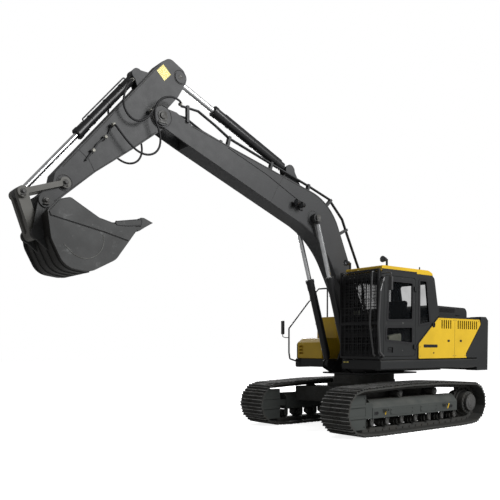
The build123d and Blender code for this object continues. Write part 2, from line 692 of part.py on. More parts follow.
def door_glass():
    return [
        slab(DOOR_UPPER_WINDOW, CAB_LEFT - 30, CAB_LEFT - 24),
        slab(DOOR_LOWER_WINDOW, CAB_LEFT - 30, CAB_LEFT - 24),
    ]


def operator_seat():
    """Seat on a pedestal with a lever console on each side."""
    y = (CAB_LEFT + CAB_RIGHT) / 2
    seat = block(100, 480, y - 190, y + 190, DECK_TOP + 12 + WALL + 1, 1680)
    seat += fillet(block(60, 580, y - 250, y + 250, 1660, 1800).edges(), 40)
    seat += Pos(45, y, 2120) * Rot(0, -10, 0) * fillet(Box(120, 470, 760).edges(), 45)
    for side in (-1, 1):
        low, high = sorted((y + side * 252, y + side * 350))
        seat += block(120, 560, low, high, 1900, 1980) + block(180, 340, low, high, 1640, 1905)
        seat += block(200, 320, min(low, y + side * 180), max(high, y + side * 180), 1660, 1700)
        seat += Pos(530, (low + high) / 2, 2030) * Cylinder(18, 120)
    return seat


# ---------------------------------------------------------------- boom
BOOM_TOP_BEND = (1160, 4375)
BOOM_UNDER_BEND = (1404, 3681)


def boom_rows(inset):
    """The boom's side outline from the foot over the bend to the nose, drawn smaller by an inset."""
    fx, fz = BOOM_FOOT
    ax, az = ARM_PIN
    return [
        (fx - 150 + inset, fz + 60, 0), (BOOM_TOP_BEND[0] + inset * 0.9, BOOM_TOP_BEND[1] - inset, 1050),
        (ax - 560, az - 30 - inset, 150), (ax - 250, az + 115 - inset, 100), (ax, az + 142 - inset, 0),
        (ax + 20, az - 142 + inset, 0),
        (ax - 430, az - 330 + inset, 300), (BOOM_UNDER_BEND[0] - inset * 0.5, BOOM_UNDER_BEND[1] + inset, 1700),
        (fx + 160 - inset, fz - 50, 0),
    ]


def boom():
    """Welded box with a bend, bosses for its three pins, a fork at the nose and clamps for its pipes."""
    plate, cover = 14, 20
    box = slab(boom_rows(0), -BOOM_HALF, BOOM_HALF)
    hollow = slab(boom_rows(cover), -BOOM_HALF + plate, BOOM_HALF - plate)
    hollow -= drum(BOOM_FOOT, 400, -BOOM_HALF, BOOM_HALF)
    hollow -= block(4200, 5200, -BOOM_HALF, BOOM_HALF, 4500, 5500)
    hollow -= drum(BOOM_CYLINDER_EYE, 150, -BOOM_HALF, BOOM_HALF)
    box -= hollow
    box += drum(BOOM_FOOT, 165, -BOOM_HALF - 8, BOOM_HALF + 8)
    box += drum(BOOM_CYLINDER_EYE, 125, -BOOM_BOSS, BOOM_BOSS)
    nose_boss = drum(ARM_PIN, 142, -BOOM_BOSS - 10, BOOM_BOSS + 10)
    fork = block(4310, 5100, -ARM_HALF - 12, ARM_HALF + 12, 4700, 5500)
    box = box + nose_boss - fork
    box += [clamp - fork for clamp in pipe_clamps()]
    fx, fz = ARM_CYLINDER_FOOT
    lug_rows = [(fx - 300, 4500, 0), (fx - 100, fz, 0), (fx + 85, fz - 45, 0), (fx + 260, 4620, 0)]
    for y0, y1 in ((57, 92), (-92, -57)):
        box += slab(lug_rows, y0, y1) + drum(ARM_CYLINDER_FOOT, 105, y0, y1)
    box += drum(ARM_CYLINDER_FOOT, 44, -92, 92)
    box += drum(ARM_PIN, 55, -BOOM_BOSS - 10, BOOM_BOSS + 10)
    return box - boom_pipes(PIPE_RADIUS + 0.5)


def boom_pipes(radius):
    """Two hard lines on each side, over the boom's bend to its nose: the outer feeds a hose, the inner is capped."""
    pipes = []
    for near, far, last in ((150, 208, 4520), (116, 182, 4440)):
        points = [(x, near, z) for x, z in PIPE_ROUTE_NEAR] + [(x, far, z) for x, z in PIPE_ROUTE_FAR]
        points.append((last, far, NOSE_PIPE_Z))
        if near == 150:
            points.append((last, HOSE_START, NOSE_PIPE_Z))
        line = pipe(points, radius, 25)
        if near == 116:
            line += Pos(last, far, NOSE_PIPE_Z) * Rot(0, 90, 0) * Cylinder(radius + 3, 40)
        pipes += pair(line)
    return pipes


def pipe_clamps():
    """Small blocks between the boom's upper edge and the pipes; the top end of each is (x, z)."""
    clamps = []
    for x, z, lean, reach, y0, y1 in PIPE_CLAMPS:
        holder = Pos(x, (y0 + y1) / 2, z) * Rot(0, -lean, 0) * Pos(0, 0, 28 - reach / 2) * Box(46, y1 - y0, reach)
        clamps += pair(holder)
    return clamps


def boom_lamps():
    """Two work lamps on a bracket on the boom's left side, under the arm cylinder's foot."""
    bracket = slab([(1890, 4110, 0), (1890, 4200, 0), (2150, 4240, 0), (2150, 4160, 0)], 185.5, 205)
    lamps = []
    for x, z in ((1985, 4185), (2105, 4215)):
        lamps.append(block(x - 14, x + 14, 204, 262, z - 14, z + 14) + lamp_head(x - 10, 300, z))
    return bracket + lamps


def cylinder_barrel(foot, eye, y, bore_radius, length, foot_radius, half, pin_radius):
    """Barrel that points from its foot pin to the rod's eye, with a stepped head and a hard line beside it."""
    neck = rod_between(along(foot, eye, foot_radius * 0.5), along(foot, eye, foot_radius + 60), half - 2, y)
    tube_start = foot_radius + 45
    barrel = neck + rod_between(along(foot, eye, tube_start), along(foot, eye, length), bore_radius, y)
    for reach, rise in ((200, 8), (60, 16)):
        barrel += rod_between(along(foot, eye, length - reach), along(foot, eye, length + 1), bore_radius + rise, y)
    barrel += drum(foot, foot_radius, y - half, y + half)
    frame = LocalFrame(foot, degrees(atan2(eye[1] - foot[1], eye[0] - foot[0])))
    beside = bore_radius + 24
    ends = (tube_start + 45, length - 230)
    line = [frame.at(u, v) for u, v in ((ends[0], 0), (ends[0], beside), (ends[1], beside), (ends[1], 0))]
    barrel += pipe([(x, y, z) for x, z in line], 11, 22)
    barrel -= rod_between(along(foot, eye, foot_radius + 70), along(foot, eye, length + 5), bore_radius * 0.62, y)
    return barrel - drum(foot, pin_radius + 1, y - half - 1, y + half + 1)


def cylinder_rod(foot, eye, y, radius, start, eye_radius, half, pin_half, pin_radius):
    """Chromed rod and the eye at its end, with the pin that the eye carries."""
    rod = rod_between(along(foot, eye, start), along(eye, foot, eye_radius * 0.7), radius, y)
    rod += drum(eye, eye_radius, y - half, y + half)
    return rod + drum(eye, pin_radius, y - pin_half, y + pin_half)


# ---------------------------------------------------------------- arm and its links
ARM = LocalFrame(ARM_PIN, ARM_ANGLE)
ARM_CYLINDER_EYE = ARM.at(-716, 299)
BUCKET_CYLINDER_FOOT = ARM.at(-95, 670)
LINK_PIN = ARM.at(1994, 36)
BUCKET_PIN = ARM.at(ARM_LENGTH, 0)
ROD_PIN = (6921, 3692)
BUCKET = LocalFrame(BUCKET_PIN, BUCKET_ANGLE)
BUCKET_LINK_PIN = BUCKET.at(-61, 466)


def arm():
    """Welded box arm: a raised rear end for the arm cylinder, lugs for the bucket cylinder and three bosses."""
    rows = ARM.rows([
        (40, -165, 60), (700, -140, 300), (1500, -88, 300), (ARM_LENGTH, -100, 0), (ARM_LENGTH, 100, 60),
        (2150, 110, 80), (2010, 215, 60), (1930, 228, 100), (-560, 628, 60), (-740, 610, 120), (-850, 330, 90),
        (-760, 185, 60), (-480, 85, 200), (-200, 40, 60),
    ])
    hollow_rows = ARM.rows([
        (260, -135, 60), (700, -120, 200), (1500, -68, 200), (1820, -66, 60), (1820, 220, 20), (-480, 592, 60),
        (-480, 330, 60), (100, 260, 100),
    ])
    tail = ARM.rows([(-590, 700, 0), (-590, 40, 0), (-950, 40, 0), (-950, 700, 0)])
    lug = ARM.rows([(-330, 560, 0), (-180, 690, 0), (-20, 655, 0), (40, 500, 0)])
    box = slab(rows, -ARM_HALF, ARM_HALF) - slab(hollow_rows, -ARM_HALF + 14, ARM_HALF - 14)
    box -= slab(tail, -122, 122)
    box += drum(ARM_PIN, 165, -ARM_HALF, ARM_HALF)
    box += drum(BUCKET_PIN, 105, -158, 158)
    for side in (1, -1):
        box += drum(ARM_CYLINDER_EYE, 92, side * 58, side * (ARM_HALF + 12))
        box += slab(lug, side * 57, side * 92)
        box += drum(BUCKET_CYLINDER_FOOT, 88, side * 57, side * 92)
        for x, z in ARM_BLOCKS:
            low, high = sorted((side * ARM_HALF, side * ARM_BLOCK_TOP))
            box += Pos(x, (low + high) / 2, z) * Rot(0, -ARM_ANGLE, 0) * Box(70, high - low, 55)
    box += drum(BUCKET_CYLINDER_FOOT, 38, -92, 92)
    box += drum(LINK_PIN, 95, -158, 158)
    box = box - drum(ARM_PIN, 56, -300, 300) - drum(BUCKET_PIN, 45, -300, 300)
    return box - arm_lines(12.5)


def arm_lines(radius):
    """A hard line on each side of the arm, from its hose block down towards the bucket."""
    return pair(pipe([(x, 176, z) for x, z in ARM_LINE_ROUTE], radius, 40))


def idler_links():
    """Two guide links outside the arm, from the arm to the bucket cylinder's rod pin."""
    link = strap(LINK_PIN, 38, ROD_PIN, 38, LINK_INNER, LINK_INNER + LINK_THICKNESS)
    for pin in (LINK_PIN, ROD_PIN):
        link += drum(pin, 76, LINK_INNER, LINK_INNER + LINK_THICKNESS)
    return pair(link)


def bucket_link():
    """H-shaped link from the rod pin to the bucket: two plates joined by a web near the bucket."""
    link = drum(BUCKET_LINK_PIN, 75, -150, 150)
    web = rod_between(BUCKET_LINK_PIN, along(BUCKET_LINK_PIN, ROD_PIN, 240), 60, 0)
    link += web & block(6000, 7400, -62, 62, 2800, 4200)
    for side in (1, -1):
        link += strap(BUCKET_LINK_PIN, 75, ROD_PIN, 78, side * 60, side * 150)
    return link - drum(BUCKET_LINK_PIN, 43, -160, 160)


def bucket():
    """Bucket: curved wrapper with wear strips, two side plates with cutters, lip, and two ears for the pins."""
    half, plate = BUCKET_HALF, 26
    outer = BUCKET.rows([
        (1290, 25, 0), (1235, 150, 200), (950, 660, 250), (600, 905, 250), (230, 905, 260), (10, 560, 300),
        (-75, 200, 60), (60, 20, 80), (210, -45, 60), (640, 130, 60), (840, 150, 100), (1180, 50, 60),
    ])
    recessed = BUCKET.rows([
        (1290, 25, 0), (1235, 150, 200), (950, 660, 250), (600, 905, 250), (255, 905, 260), (45, 560, 300),
        (-35, 200, 60), (70, 60, 60), (500, -200, 0), (1290, -300, 0),
    ])
    inner = BUCKET.rows([
        (1330, 20, 0), (1200, 150, 200), (925, 640, 230), (590, 878, 230), (272, 878, 240), (72, 550, 280),
        (-8, 215, 40), (100, 70, 40), (500, -200, 0), (1330, -300, 0),
    ])
    ear = BUCKET.rows([
        (0, -100, 0), (110, -30, 40), (150, 60, 0), (60, 300, 0), (160, 700, 0), (60, 640, 40), (-140, 500, 60),
        (-95, 0, 0),
    ])
    cutter = BUCKET.rows([(850, 190, 40), (880, 120, 0), (1185, 20, 0), (1290, -10, 0), (1290, 90, 0), (1080, 150, 60)])
    shell = slab(recessed, -half + 20, half - 20) - slab(inner, -half + plate, half - plate)
    shell = shell & slab(outer, -half, half)
    for side in (1, -1):
        shell += slab(outer, side * (half - plate), side * half)
    shell -= drum(BUCKET_PIN, 140, -EAR_INNER - 5, EAR_INNER + 5)
    for side in (1, -1):
        low, high = side * (EAR_INNER + 5), side * (EAR_INNER + 5 + EAR_THICKNESS)
        shell += slab(cutter, side * (half - 1), side * (half + 18))
        shell += slab(ear, low, high)
        shell += drum(BUCKET_PIN, 98, low, high + side * 20)
        shell += drum(BUCKET_LINK_PIN, 92, low, high + side * 10)
    shell += drum(BUCKET_LINK_PIN, 42, -(EAR_INNER + 60), EAR_INNER + 60)
    return shell - drum(BUCKET_PIN, 46, -half, half)


def bucket_pin():
    """Pin through the ears and the arm's nose; it stays with the arm."""
    return drum(BUCKET_PIN, 45, -(EAR_INNER + 90), EAR_INNER + 90)


def bucket_teeth(lip):
    """Five cast teeth, seated on the bucket's lip."""
    rows = BUCKET.rows([
        (1200, 40, 0), (1270, -30, 20), (1320, -38, 0), (TIP_RADIUS, 0, 0), (1350, 95, 0), (1240, 190, 20),
    ])
    count, inset, half = 5, 55, 45
    teeth = []
    for index in range(count):
        y = -BUCKET_HALF + inset + index * 2 * (BUCKET_HALF - inset) / (count - 1)
        teeth.append(slab(rows, y - half, y + half) - lip)
    return teeth


# ---------------------------------------------------------------- hoses
def hose(points):
    """A hose through hand-set points, with the largest even bends that its runs leave room for."""
    corners = [Vector(*point) for point in points]
    radii = []
    for before, here, after in zip(corners, corners[1:], corners[2:]):
        shorter = min((here - before).length, (after - here).length)
        turn = radians((here - before).get_angle(after - here))
        radii.append(round(0.45 * shorter / tan(turn / 2)))
    path = FilletPolyline(*corners, radius=radii)
    print(f"hose: length {path.length:.0f} mm, bend radii {radii}")
    return sweep(Plane(origin=path @ 0, z_dir=path % 0) * Circle(HOSE_RADIUS), path=path)


def undercarriage():
    """Nodes of the track side that are alike on the left and the right, and the frame between them."""
    sides = {
        "track": [track()],
        "idler": [end_wheel(IDLER_X, 280, 300)],
        "sprocket": [sprocket()],
        "track_frame": [track_frame()],
        "track_rollers": track_rollers(),
        "carrier_rollers": carrier_rollers(),
    }
    for name, shapes in sides.items():
        export_node(f"{name}_left", shapes)
        export_node(f"{name}_right", [mirrored(shape) for shape in shapes])
    export_node("centre_frame", centre_frame())
    export_node("swing_bearing", swing_bearing())


def upper_structure():
    for make in (
        swing_frame, counterweight, engine_block, engine_hood, fuel_tank, tool_box, handrails, mirrors,
        roof_lamps, cab_body, cab_glass, cab_roof, cab_guard, operator_seat, cab_door, door_glass,
    ):
        export_node(make.__name__, make())
    export_node("side_panel_left", side_panel(1))
    export_node("side_panel_right", side_panel(-1))


def front():
    """Boom, arm, bucket, their cylinders and links, and the hoses over the arm's pin."""
    export_node("boom", boom())
    export_node("boom_pipes", boom_pipes(PIPE_RADIUS))
    export_node("boom_lamps", boom_lamps())
    foot, eye = BOOM_CYLINDER_FOOT, BOOM_CYLINDER_EYE
    rod = cylinder_rod(foot, eye, CYLINDER_Y, 42, 1180, 88, 38, 38, 40) + drum(eye, 40, 200, 340)
    export_node("boom_cylinder_barrels", pair(cylinder_barrel(foot, eye, CYLINDER_Y, 70, 1740, 85, 38, 38)))
    export_node("boom_cylinder_rods", pair(rod))
    foot, eye = ARM_CYLINDER_FOOT, ARM_CYLINDER_EYE
    export_node("arm_cylinder_barrel", cylinder_barrel(foot, eye, 0, 80, 1780, 95, EYE_HALF, 44))
    export_node("arm_cylinder_rod", cylinder_rod(foot, eye, 0, 48, 780, 90, EYE_HALF, EYE_HALF, 44))
    foot, eye = BUCKET_CYLINDER_FOOT, ROD_PIN
    ports = drum(BUCKET_HOSE[0][::2], 18, -106, 106)
    export_node("bucket_cylinder_barrel", cylinder_barrel(foot, eye, 0, 68, 1420, 85, EYE_HALF, 38) + ports)
    export_node("bucket_cylinder_rod", cylinder_rod(foot, eye, 0, 40, 1085, 80, EYE_HALF, EYE_HALF, 38))
    for make in (arm, idler_links, bucket_link, bucket_pin):
        export_node(make.__name__, make())
    export_node("arm_lines", arm_lines(12))
    shell = bucket()
    export_node("bucket", shell)
    export_node("bucket_teeth", bucket_teeth(shell))
    for name, route in (("arm_hose", ARM_HOSE), ("bucket_hose", BUCKET_HOSE)):
        tube = hose(route)
        export_node(f"{name}_left", tube)
        export_node(f"{name}_right", mirrored(tube))


def main():
    os.makedirs("parts", exist_ok=True)
    undercarriage()
    upper_structure()
    front()


if __name__ == "__main__":
    main()
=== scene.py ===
"""Crawler excavator: finishes, small fittings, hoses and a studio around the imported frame.

Metres. +X points forward, to the bucket; +Y to the machine's left, the cab's side; +Z up. Places are
given forward of the swing axis, and add_piece moves each shape from there into the frame.
"""
import json
import math

import bpy
import numpy as np
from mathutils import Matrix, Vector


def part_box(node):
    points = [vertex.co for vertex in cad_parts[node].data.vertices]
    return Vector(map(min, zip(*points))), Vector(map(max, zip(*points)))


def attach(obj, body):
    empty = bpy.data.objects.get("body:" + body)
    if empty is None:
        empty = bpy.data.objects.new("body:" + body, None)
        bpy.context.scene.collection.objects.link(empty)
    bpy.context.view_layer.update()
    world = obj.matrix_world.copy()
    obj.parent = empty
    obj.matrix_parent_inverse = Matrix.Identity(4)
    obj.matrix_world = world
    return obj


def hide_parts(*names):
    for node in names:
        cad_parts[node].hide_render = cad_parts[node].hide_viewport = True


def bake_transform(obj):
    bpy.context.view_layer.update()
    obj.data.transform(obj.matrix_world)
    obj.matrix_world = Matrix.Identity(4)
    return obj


bl_info = {
    "name": "Crawler excavator",
    "version": (1, 0, 0),
    "blender": (4, 5, 0),
    "location": "View3D > Sidebar > Excavator",
    "description": "Finishes, small fittings, hoses and a studio for a crawler excavator",
    "category": "Object",
}

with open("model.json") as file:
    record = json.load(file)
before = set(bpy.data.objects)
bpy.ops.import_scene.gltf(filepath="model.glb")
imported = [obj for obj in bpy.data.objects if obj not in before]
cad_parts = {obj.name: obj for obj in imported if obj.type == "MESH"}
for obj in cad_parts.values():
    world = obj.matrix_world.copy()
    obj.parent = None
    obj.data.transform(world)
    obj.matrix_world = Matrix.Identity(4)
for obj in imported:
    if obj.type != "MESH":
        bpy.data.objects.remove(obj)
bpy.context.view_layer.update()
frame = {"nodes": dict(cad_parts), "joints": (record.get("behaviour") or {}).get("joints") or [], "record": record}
NODES = frame["nodes"]
SWING_X = next(joint["pos_m"][0] for joint in frame["joints"] if joint["name"] == "swing")
SIDES = (1, -1)


# ---------------------------------------------------------------- shapes
class Shape:
    """Points and faces of a closed surface. Shapes can be added, mirrored and moved."""

    def __init__(self, points, faces):
        self.points = np.asarray(points, float).reshape(-1, 3)
        self.faces = [np.asarray(group, int) for group in faces]

    def __add__(self, other):
        shifted = [group + len(self.points) for group in other.faces]
        return Shape(np.vstack([self.points, other.points]), self.faces + shifted)

    def mirrored(self):
        """The same shape across the machine's middle plane, with its faces turned the right way."""
        return Shape(self.points * (1, -1, 1), [group[:, ::-1] for group in self.faces])

    def moved(self, offset):
        """The same shape with an offset added to its points."""
        return Shape(self.points + offset, self.faces)


def together(shapes):
    """One shape from a list of them; a single shape stays as it is."""
    return shapes if isinstance(shapes, Shape) else sum(shapes[1:], shapes[0])


def both_sides(shapes):
    """One shape from shapes and their mirror images."""
    shape = together(shapes)
    return shape + shape.mirrored()


def skin(grid, ends=True):
    """A surface over a grid of points (steps along, steps round, 3).

    Each ring closes. The ends get a cap each, or else the last ring joins the first.
    """
    along, around = grid.shape[:2]
    index = np.arange(along * around).reshape(along, around)
    beside = np.roll(index, -1, axis=1)
    faces = [np.stack([index[:-1], beside[:-1], beside[1:], index[1:]], -1).reshape(-1, 4)]
    if ends:
        faces += [index[:1, ::-1], index[-1:]]
    else:
        faces += [np.stack([index[-1:], beside[-1:], beside[:1], index[:1]], -1).reshape(-1, 4)]
    return outward(Shape(grid, faces))


def outward(shape):
    """The shape with its faces turned so that the volume inside, the sum of a . (b x c) / 6, is positive."""
    volume = 0.0
    for group in shape.faces:
        corners = shape.points[group]
        for step in range(1, group.shape[1] - 1):
            crossed = np.cross(corners[:, step], corners[:, step + 1])
            volume += (corners[:, 0] * crossed).sum()
    return shape if volume > 0 else Shape(shape.points, [group[:, ::-1] for group in shape.faces])


def unit(vectors):
    """Each vector divided by its length."""
    return vectors / np.linalg.norm(vectors, axis=-1, keepdims=True)


def circle(sides, phase=0.0):
    """Unit circle: (cos a, sin a) at even angles."""
    angle = 2 * np.pi * (np.arange(sides) + phase) / sides
    return np.stack([np.cos(angle), np.sin(angle)], -1)


def across(way):
    """Two directions square to a way and to each other: side = helper x way, lift = way x side."""
    upright = np.abs(way[..., 2:]) > 0.9
    side = unit(np.cross(np.where(upright, (1.0, 0.0, 0.0), (0.0, 0.0, 1.0)), way))
    return side, np.cross(way, side)


def carried(profile, path, up=(0, 1, 0), scale=1.0):
    """A closed profile (a, b) carried along a path: point = path + scale * (a * side + b * lift).

    Side is square to the path's way and to up, and lift is square to both.
    """
    path, profile = np.asarray(path, float), np.asarray(profile, float)
    way = unit(np.gradient(path, axis=0))
    side = unit(np.cross(way, np.asarray(up, float)))
    offset = profile[:, :1] * side[:, None] + profile[:, 1:] * np.cross(side, way)[:, None]
    scale = np.broadcast_to(scale, len(path))[:, None, None]
    return skin((path[:, None] + offset * scale)[:, ::-1])


def along_path(path, spacing):
    """Points at an even spacing along a path."""
    path = np.asarray(path, float)
    steps = np.linalg.norm(np.diff(path, axis=0), axis=1)
    reach = np.concatenate([[0], np.cumsum(steps)])
    places = np.linspace(0, reach[-1], max(2, int(reach[-1] / spacing)))
    return np.column_stack([np.interp(places, reach, path[:, axis]) for axis in range(3)])


def rod(points, radius, sides=8, spacing=0.05, up=(0, 1, 0)):
    """A round rod along straight runs: a circle carried along points at an even spacing."""
    return carried(circle(sides) * radius, along_path(points, spacing), up)


def weld(path, width):
    """A weld bead along a path: its radius ripples, r = w / 2 * (1 + 0.12 * (-1) ** step)."""
    path = along_path(path, width * 0.9)
    ripple = 1 + 0.12 * (-1.0) ** np.arange(len(path))
    return carried(circle(8) * width / 2, path, scale=ripple)


def bars(starts, ends, radius, sides=6):
    """Many straight bars at once: ring point = end + radius * (cos a * side + sin a * lift)."""
    starts, ends = np.atleast_2d(starts).astype(float), np.atleast_2d(ends).astype(float)
    side, lift = across(unit(ends - starts))
    ring = circle(sides)
    offset = radius * (ring[None, :, :1] * side[:, None] + ring[None, :, 1:] * lift[:, None])
    grid = np.stack([starts[:, None] + offset, ends[:, None] + offset], 1)
    index = np.arange(len(starts) * 2 * sides).reshape(len(starts), 2, sides)
    beside = np.roll(index, -1, axis=2)
    walls = np.stack([index[:, 0], beside[:, 0], beside[:, 1], index[:, 1]], -1).reshape(-1, 4)
    return outward(Shape(grid, [walls, index[:, 0, ::-1], index[:, 1]]))


def turned(profile, centre, axis=(0, 1, 0), sides=28, hollow=False):
    """A profile of (radius, height) turned about an axis: closed at both ends, or a ring if hollow.

    Point = centre + radius * (cos a * side + sin a * lift) + height * axis.
    """
    way = unit(np.array(axis, float))
    side, lift = across(way)
    profile, ring = np.asarray(profile, float), circle(sides)
    around = ring[:, :1] * side + ring[:, 1:] * lift
    grid = np.array(centre, float) + profile[:, None, :1] * around + profile[:, None, 1:] * way
    return skin(grid, ends=not hollow)


def rounded(rows, steps=5):
    """An outline with its corners (a, b, radius) rounded: arcs of even angle between the tangent points."""
    corners = np.array([row[:2] for row in rows], float)
    radii = np.array([row[2] for row in rows], float)
    back = unit(np.roll(corners, 1, axis=0) - corners)
    on = unit(np.roll(corners, -1, axis=0) - corners)
    half = np.arccos(np.clip((back * on).sum(-1), -1, 1)) / 2
    reach = (radii / np.tan(half))[:, None]
    middle = corners + unit(back + on) * (radii / np.sin(half))[:, None]
    start, end = corners + back * reach - middle, corners + on * reach - middle
    share = np.linspace(0, 1, steps)[None, :, None]
    turn = (np.pi - 2 * half)[:, None, None]
    safe = np.maximum(np.sin(turn), 1e-9)
    arc = (np.sin((1 - share) * turn) * start[:, None] + np.sin(share * turn) * end[:, None]) / safe
    return (middle[:, None] + arc).reshape(-1, 2)


def rectangle(first, last, low, high, radius):
    """The rounded outline of a rectangle: first to last along it, low to high across it."""
    return rounded([(first, low, radius), (last, low, radius), (last, high, radius), (first, high, radius)])


def doubled_area(outline):
    """Twice the area inside an outline, the sum of a x b over its edges; negative if it runs clockwise."""
    following = np.roll(outline, -1, axis=0)
    return (outline[:, 0] * following[:, 1] - following[:, 0] * outline[:, 1]).sum()


def outline_inset(outline, distance):
    """An outline drawn smaller: each point moves by the mean of its two edges' inward normals."""
    edge = unit(np.roll(outline, -1, axis=0) - outline)
    inward = np.stack([-edge[:, 1], edge[:, 0]], -1) * np.sign(doubled_area(outline))
    return outline + unit(inward + np.roll(inward, 1, axis=0)) * distance


def placed(rings, plane):
    """Rings of (outline, depth) as a grid of points, in the plane named by its two axes."""
    order = {"xz": (0, 2, 1), "xy": (0, 1, 2), "yz": (1, 2, 0)}[plane]
    grid = np.empty((len(rings), len(rings[0][0]), 3))
    for level, (outline, depth) in enumerate(rings):
        grid[level][:, order[:2]] = outline
        grid[level][:, order[2]] = depth
    return grid


def plate(outline, start, end, bevel=0.003, plane="xz"):
    """A flat plate with bevelled edges: four rings of the outline, the first and last of them inset."""
    outline = np.asarray(outline, float)
    if doubled_area(outline) < 0:
        outline = outline[::-1]
    inset = outline_inset(outline, bevel)
    levels = [(inset, start), (outline, start + bevel), (outline, end - bevel), (inset, end)]
    return skin(placed(levels, plane))


def band(outline, inside, outside, start, end, plane="xz"):
    """A flat closed band along an outline, from inside it to outside it, between two depths."""
    inner, outer = outline_inset(outline, inside), outline_inset(outline, -outside)
    return skin(placed([(inner, start), (inner, end), (outer, end), (outer, start)], plane), ends=False)


def box(corner, far_corner, bevel=0.004):
    """A block with bevelled edges between two corners: a bevelled plate with a square outline."""
    a, b = np.minimum(corner, far_corner), np.maximum(corner, far_corner)
    square = [(a[0], a[1]), (b[0], a[1]), (b[0], b[1]), (a[0], b[1])]
    return plate(square, a[2], b[2], bevel, "xy")


def bolts(places, radius, height):
    """Hexagon heads at places on a face that looks along Y."""
    places = np.atleast_2d(np.asarray(places, float))
    return bars(places, places + (0, height, 0), radius)


def bolt_circle(centre, radius, count, head, height):
    """Hexagon heads on a circle about a centre, on a face that looks along Y."""
    return bolts(np.array(centre, float) + on_side(circle(count, 0.5) * radius, 0), head, height)


def cap(centre, radius, height, bevel=0.006):
    """A round bevelled cap on a face that looks along Y."""
    return turned([(radius, 0), (radius, height - bevel), (radius - bevel, height)], centre)


def bolted_cap(centre, radius, height, bolt_radius, count):
    """A round cap with a circle of small bolts on its face."""
    face = np.add(centre, (0, height - 0.001, 0))
    return cap(centre, radius, height) + bolt_circle(face, bolt_radius, count, 0.006, 0.006)


def slanted(origin, degrees, *points):
    """Points (u, v) along and above a line that slopes by some degrees from an origin, as (x, z)."""
    angle = math.radians(degrees)
    rows = np.array(points, float)
    along, above = (math.cos(angle), math.sin(angle)), (-math.sin(angle), math.cos(angle))
    return np.array(origin, float) + rows[:, :1] * along + rows[:, 1:2] * above


def on_side(points, y):
    """Points (x, z) as points (x, y, z) on a plane across the machine."""
    points = np.asarray(points, float)
    return np.column_stack([points[:, 0], np.full(len(points), y), points[:, 1]])


def add_piece(name, shapes, finish, body, smooth=30):
    """Moves shapes into the frame, and makes them one object with its finish, riding on a body.

    Edges under the smooth angle, in degrees, are shaded smooth; None leaves the piece flat.
    """
    shape = together(shapes).moved((SWING_X, 0, 0))
    mesh = bpy.data.meshes.new(name)
    faces = [face for group in shape.faces for face in group.tolist()]
    mesh.from_pydata(shape.points.tolist(), [], faces)
    mesh.validate()
    mesh.materials.append(FINISHES[finish])
    if smooth is not None:
        mesh.shade_smooth()
        mesh.set_sharp_from_angle(angle=math.radians(smooth))
    piece = bpy.data.objects.new(name, mesh)
    bpy.context.scene.collection.objects.link(piece)
    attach(piece, body)
    return piece


# ---------------------------------------------------------------- materials
class Wire:
    """A shader value; each operator on it adds a Math node to its tree."""

    def __init__(self, nodes, socket):
        self.nodes = nodes
        self.socket = socket

    def _math(self, operation, first, second):
        return self.nodes.add("ShaderNodeMath", {"operation": operation}, {0: first, 1: second})

    def __add__(self, other):
        return self._math("ADD", self, other)

    __radd__ = __add__

    def __sub__(self, other):
        return self._math("SUBTRACT", self, other)

    def __rsub__(self, other):
        return self._math("SUBTRACT", other, self)

    def __mul__(self, other):
        return self._math("MULTIPLY", self, other)

    __rmul__ = __mul__


class Nodes:
    """The shader nodes of a material or a world, and the one method that adds them."""

    def __init__(self, owner, output):
        owner.use_nodes = True
        self.tree = owner.node_tree
        self.tree.nodes.clear()
        self.output = self.tree.nodes.new(output)

    def feed(self, socket, value):
        """Links a shader value to a socket, or sets the socket to a number or colour."""
        if isinstance(value, Wire):
            self.tree.links.new(value.socket, socket)
        else:
            socket.default_value = value

    def add(self, kind, settings=None, values=None, out=0):
        """Adds a node: its settings come first, then the values or links of its sockets."""
        node = self.tree.nodes.new(kind)
        for key, value in (settings or {}).items():
            setattr(node, key, value)
        for key, value in (values or {}).items():
            self.feed(node.inputs[key], value)
        return Wire(self, node.outputs[out])

    def surface(self, wire):
        """Sends a shader to the output."""
        self.feed(self.output.inputs["Surface"], wire)


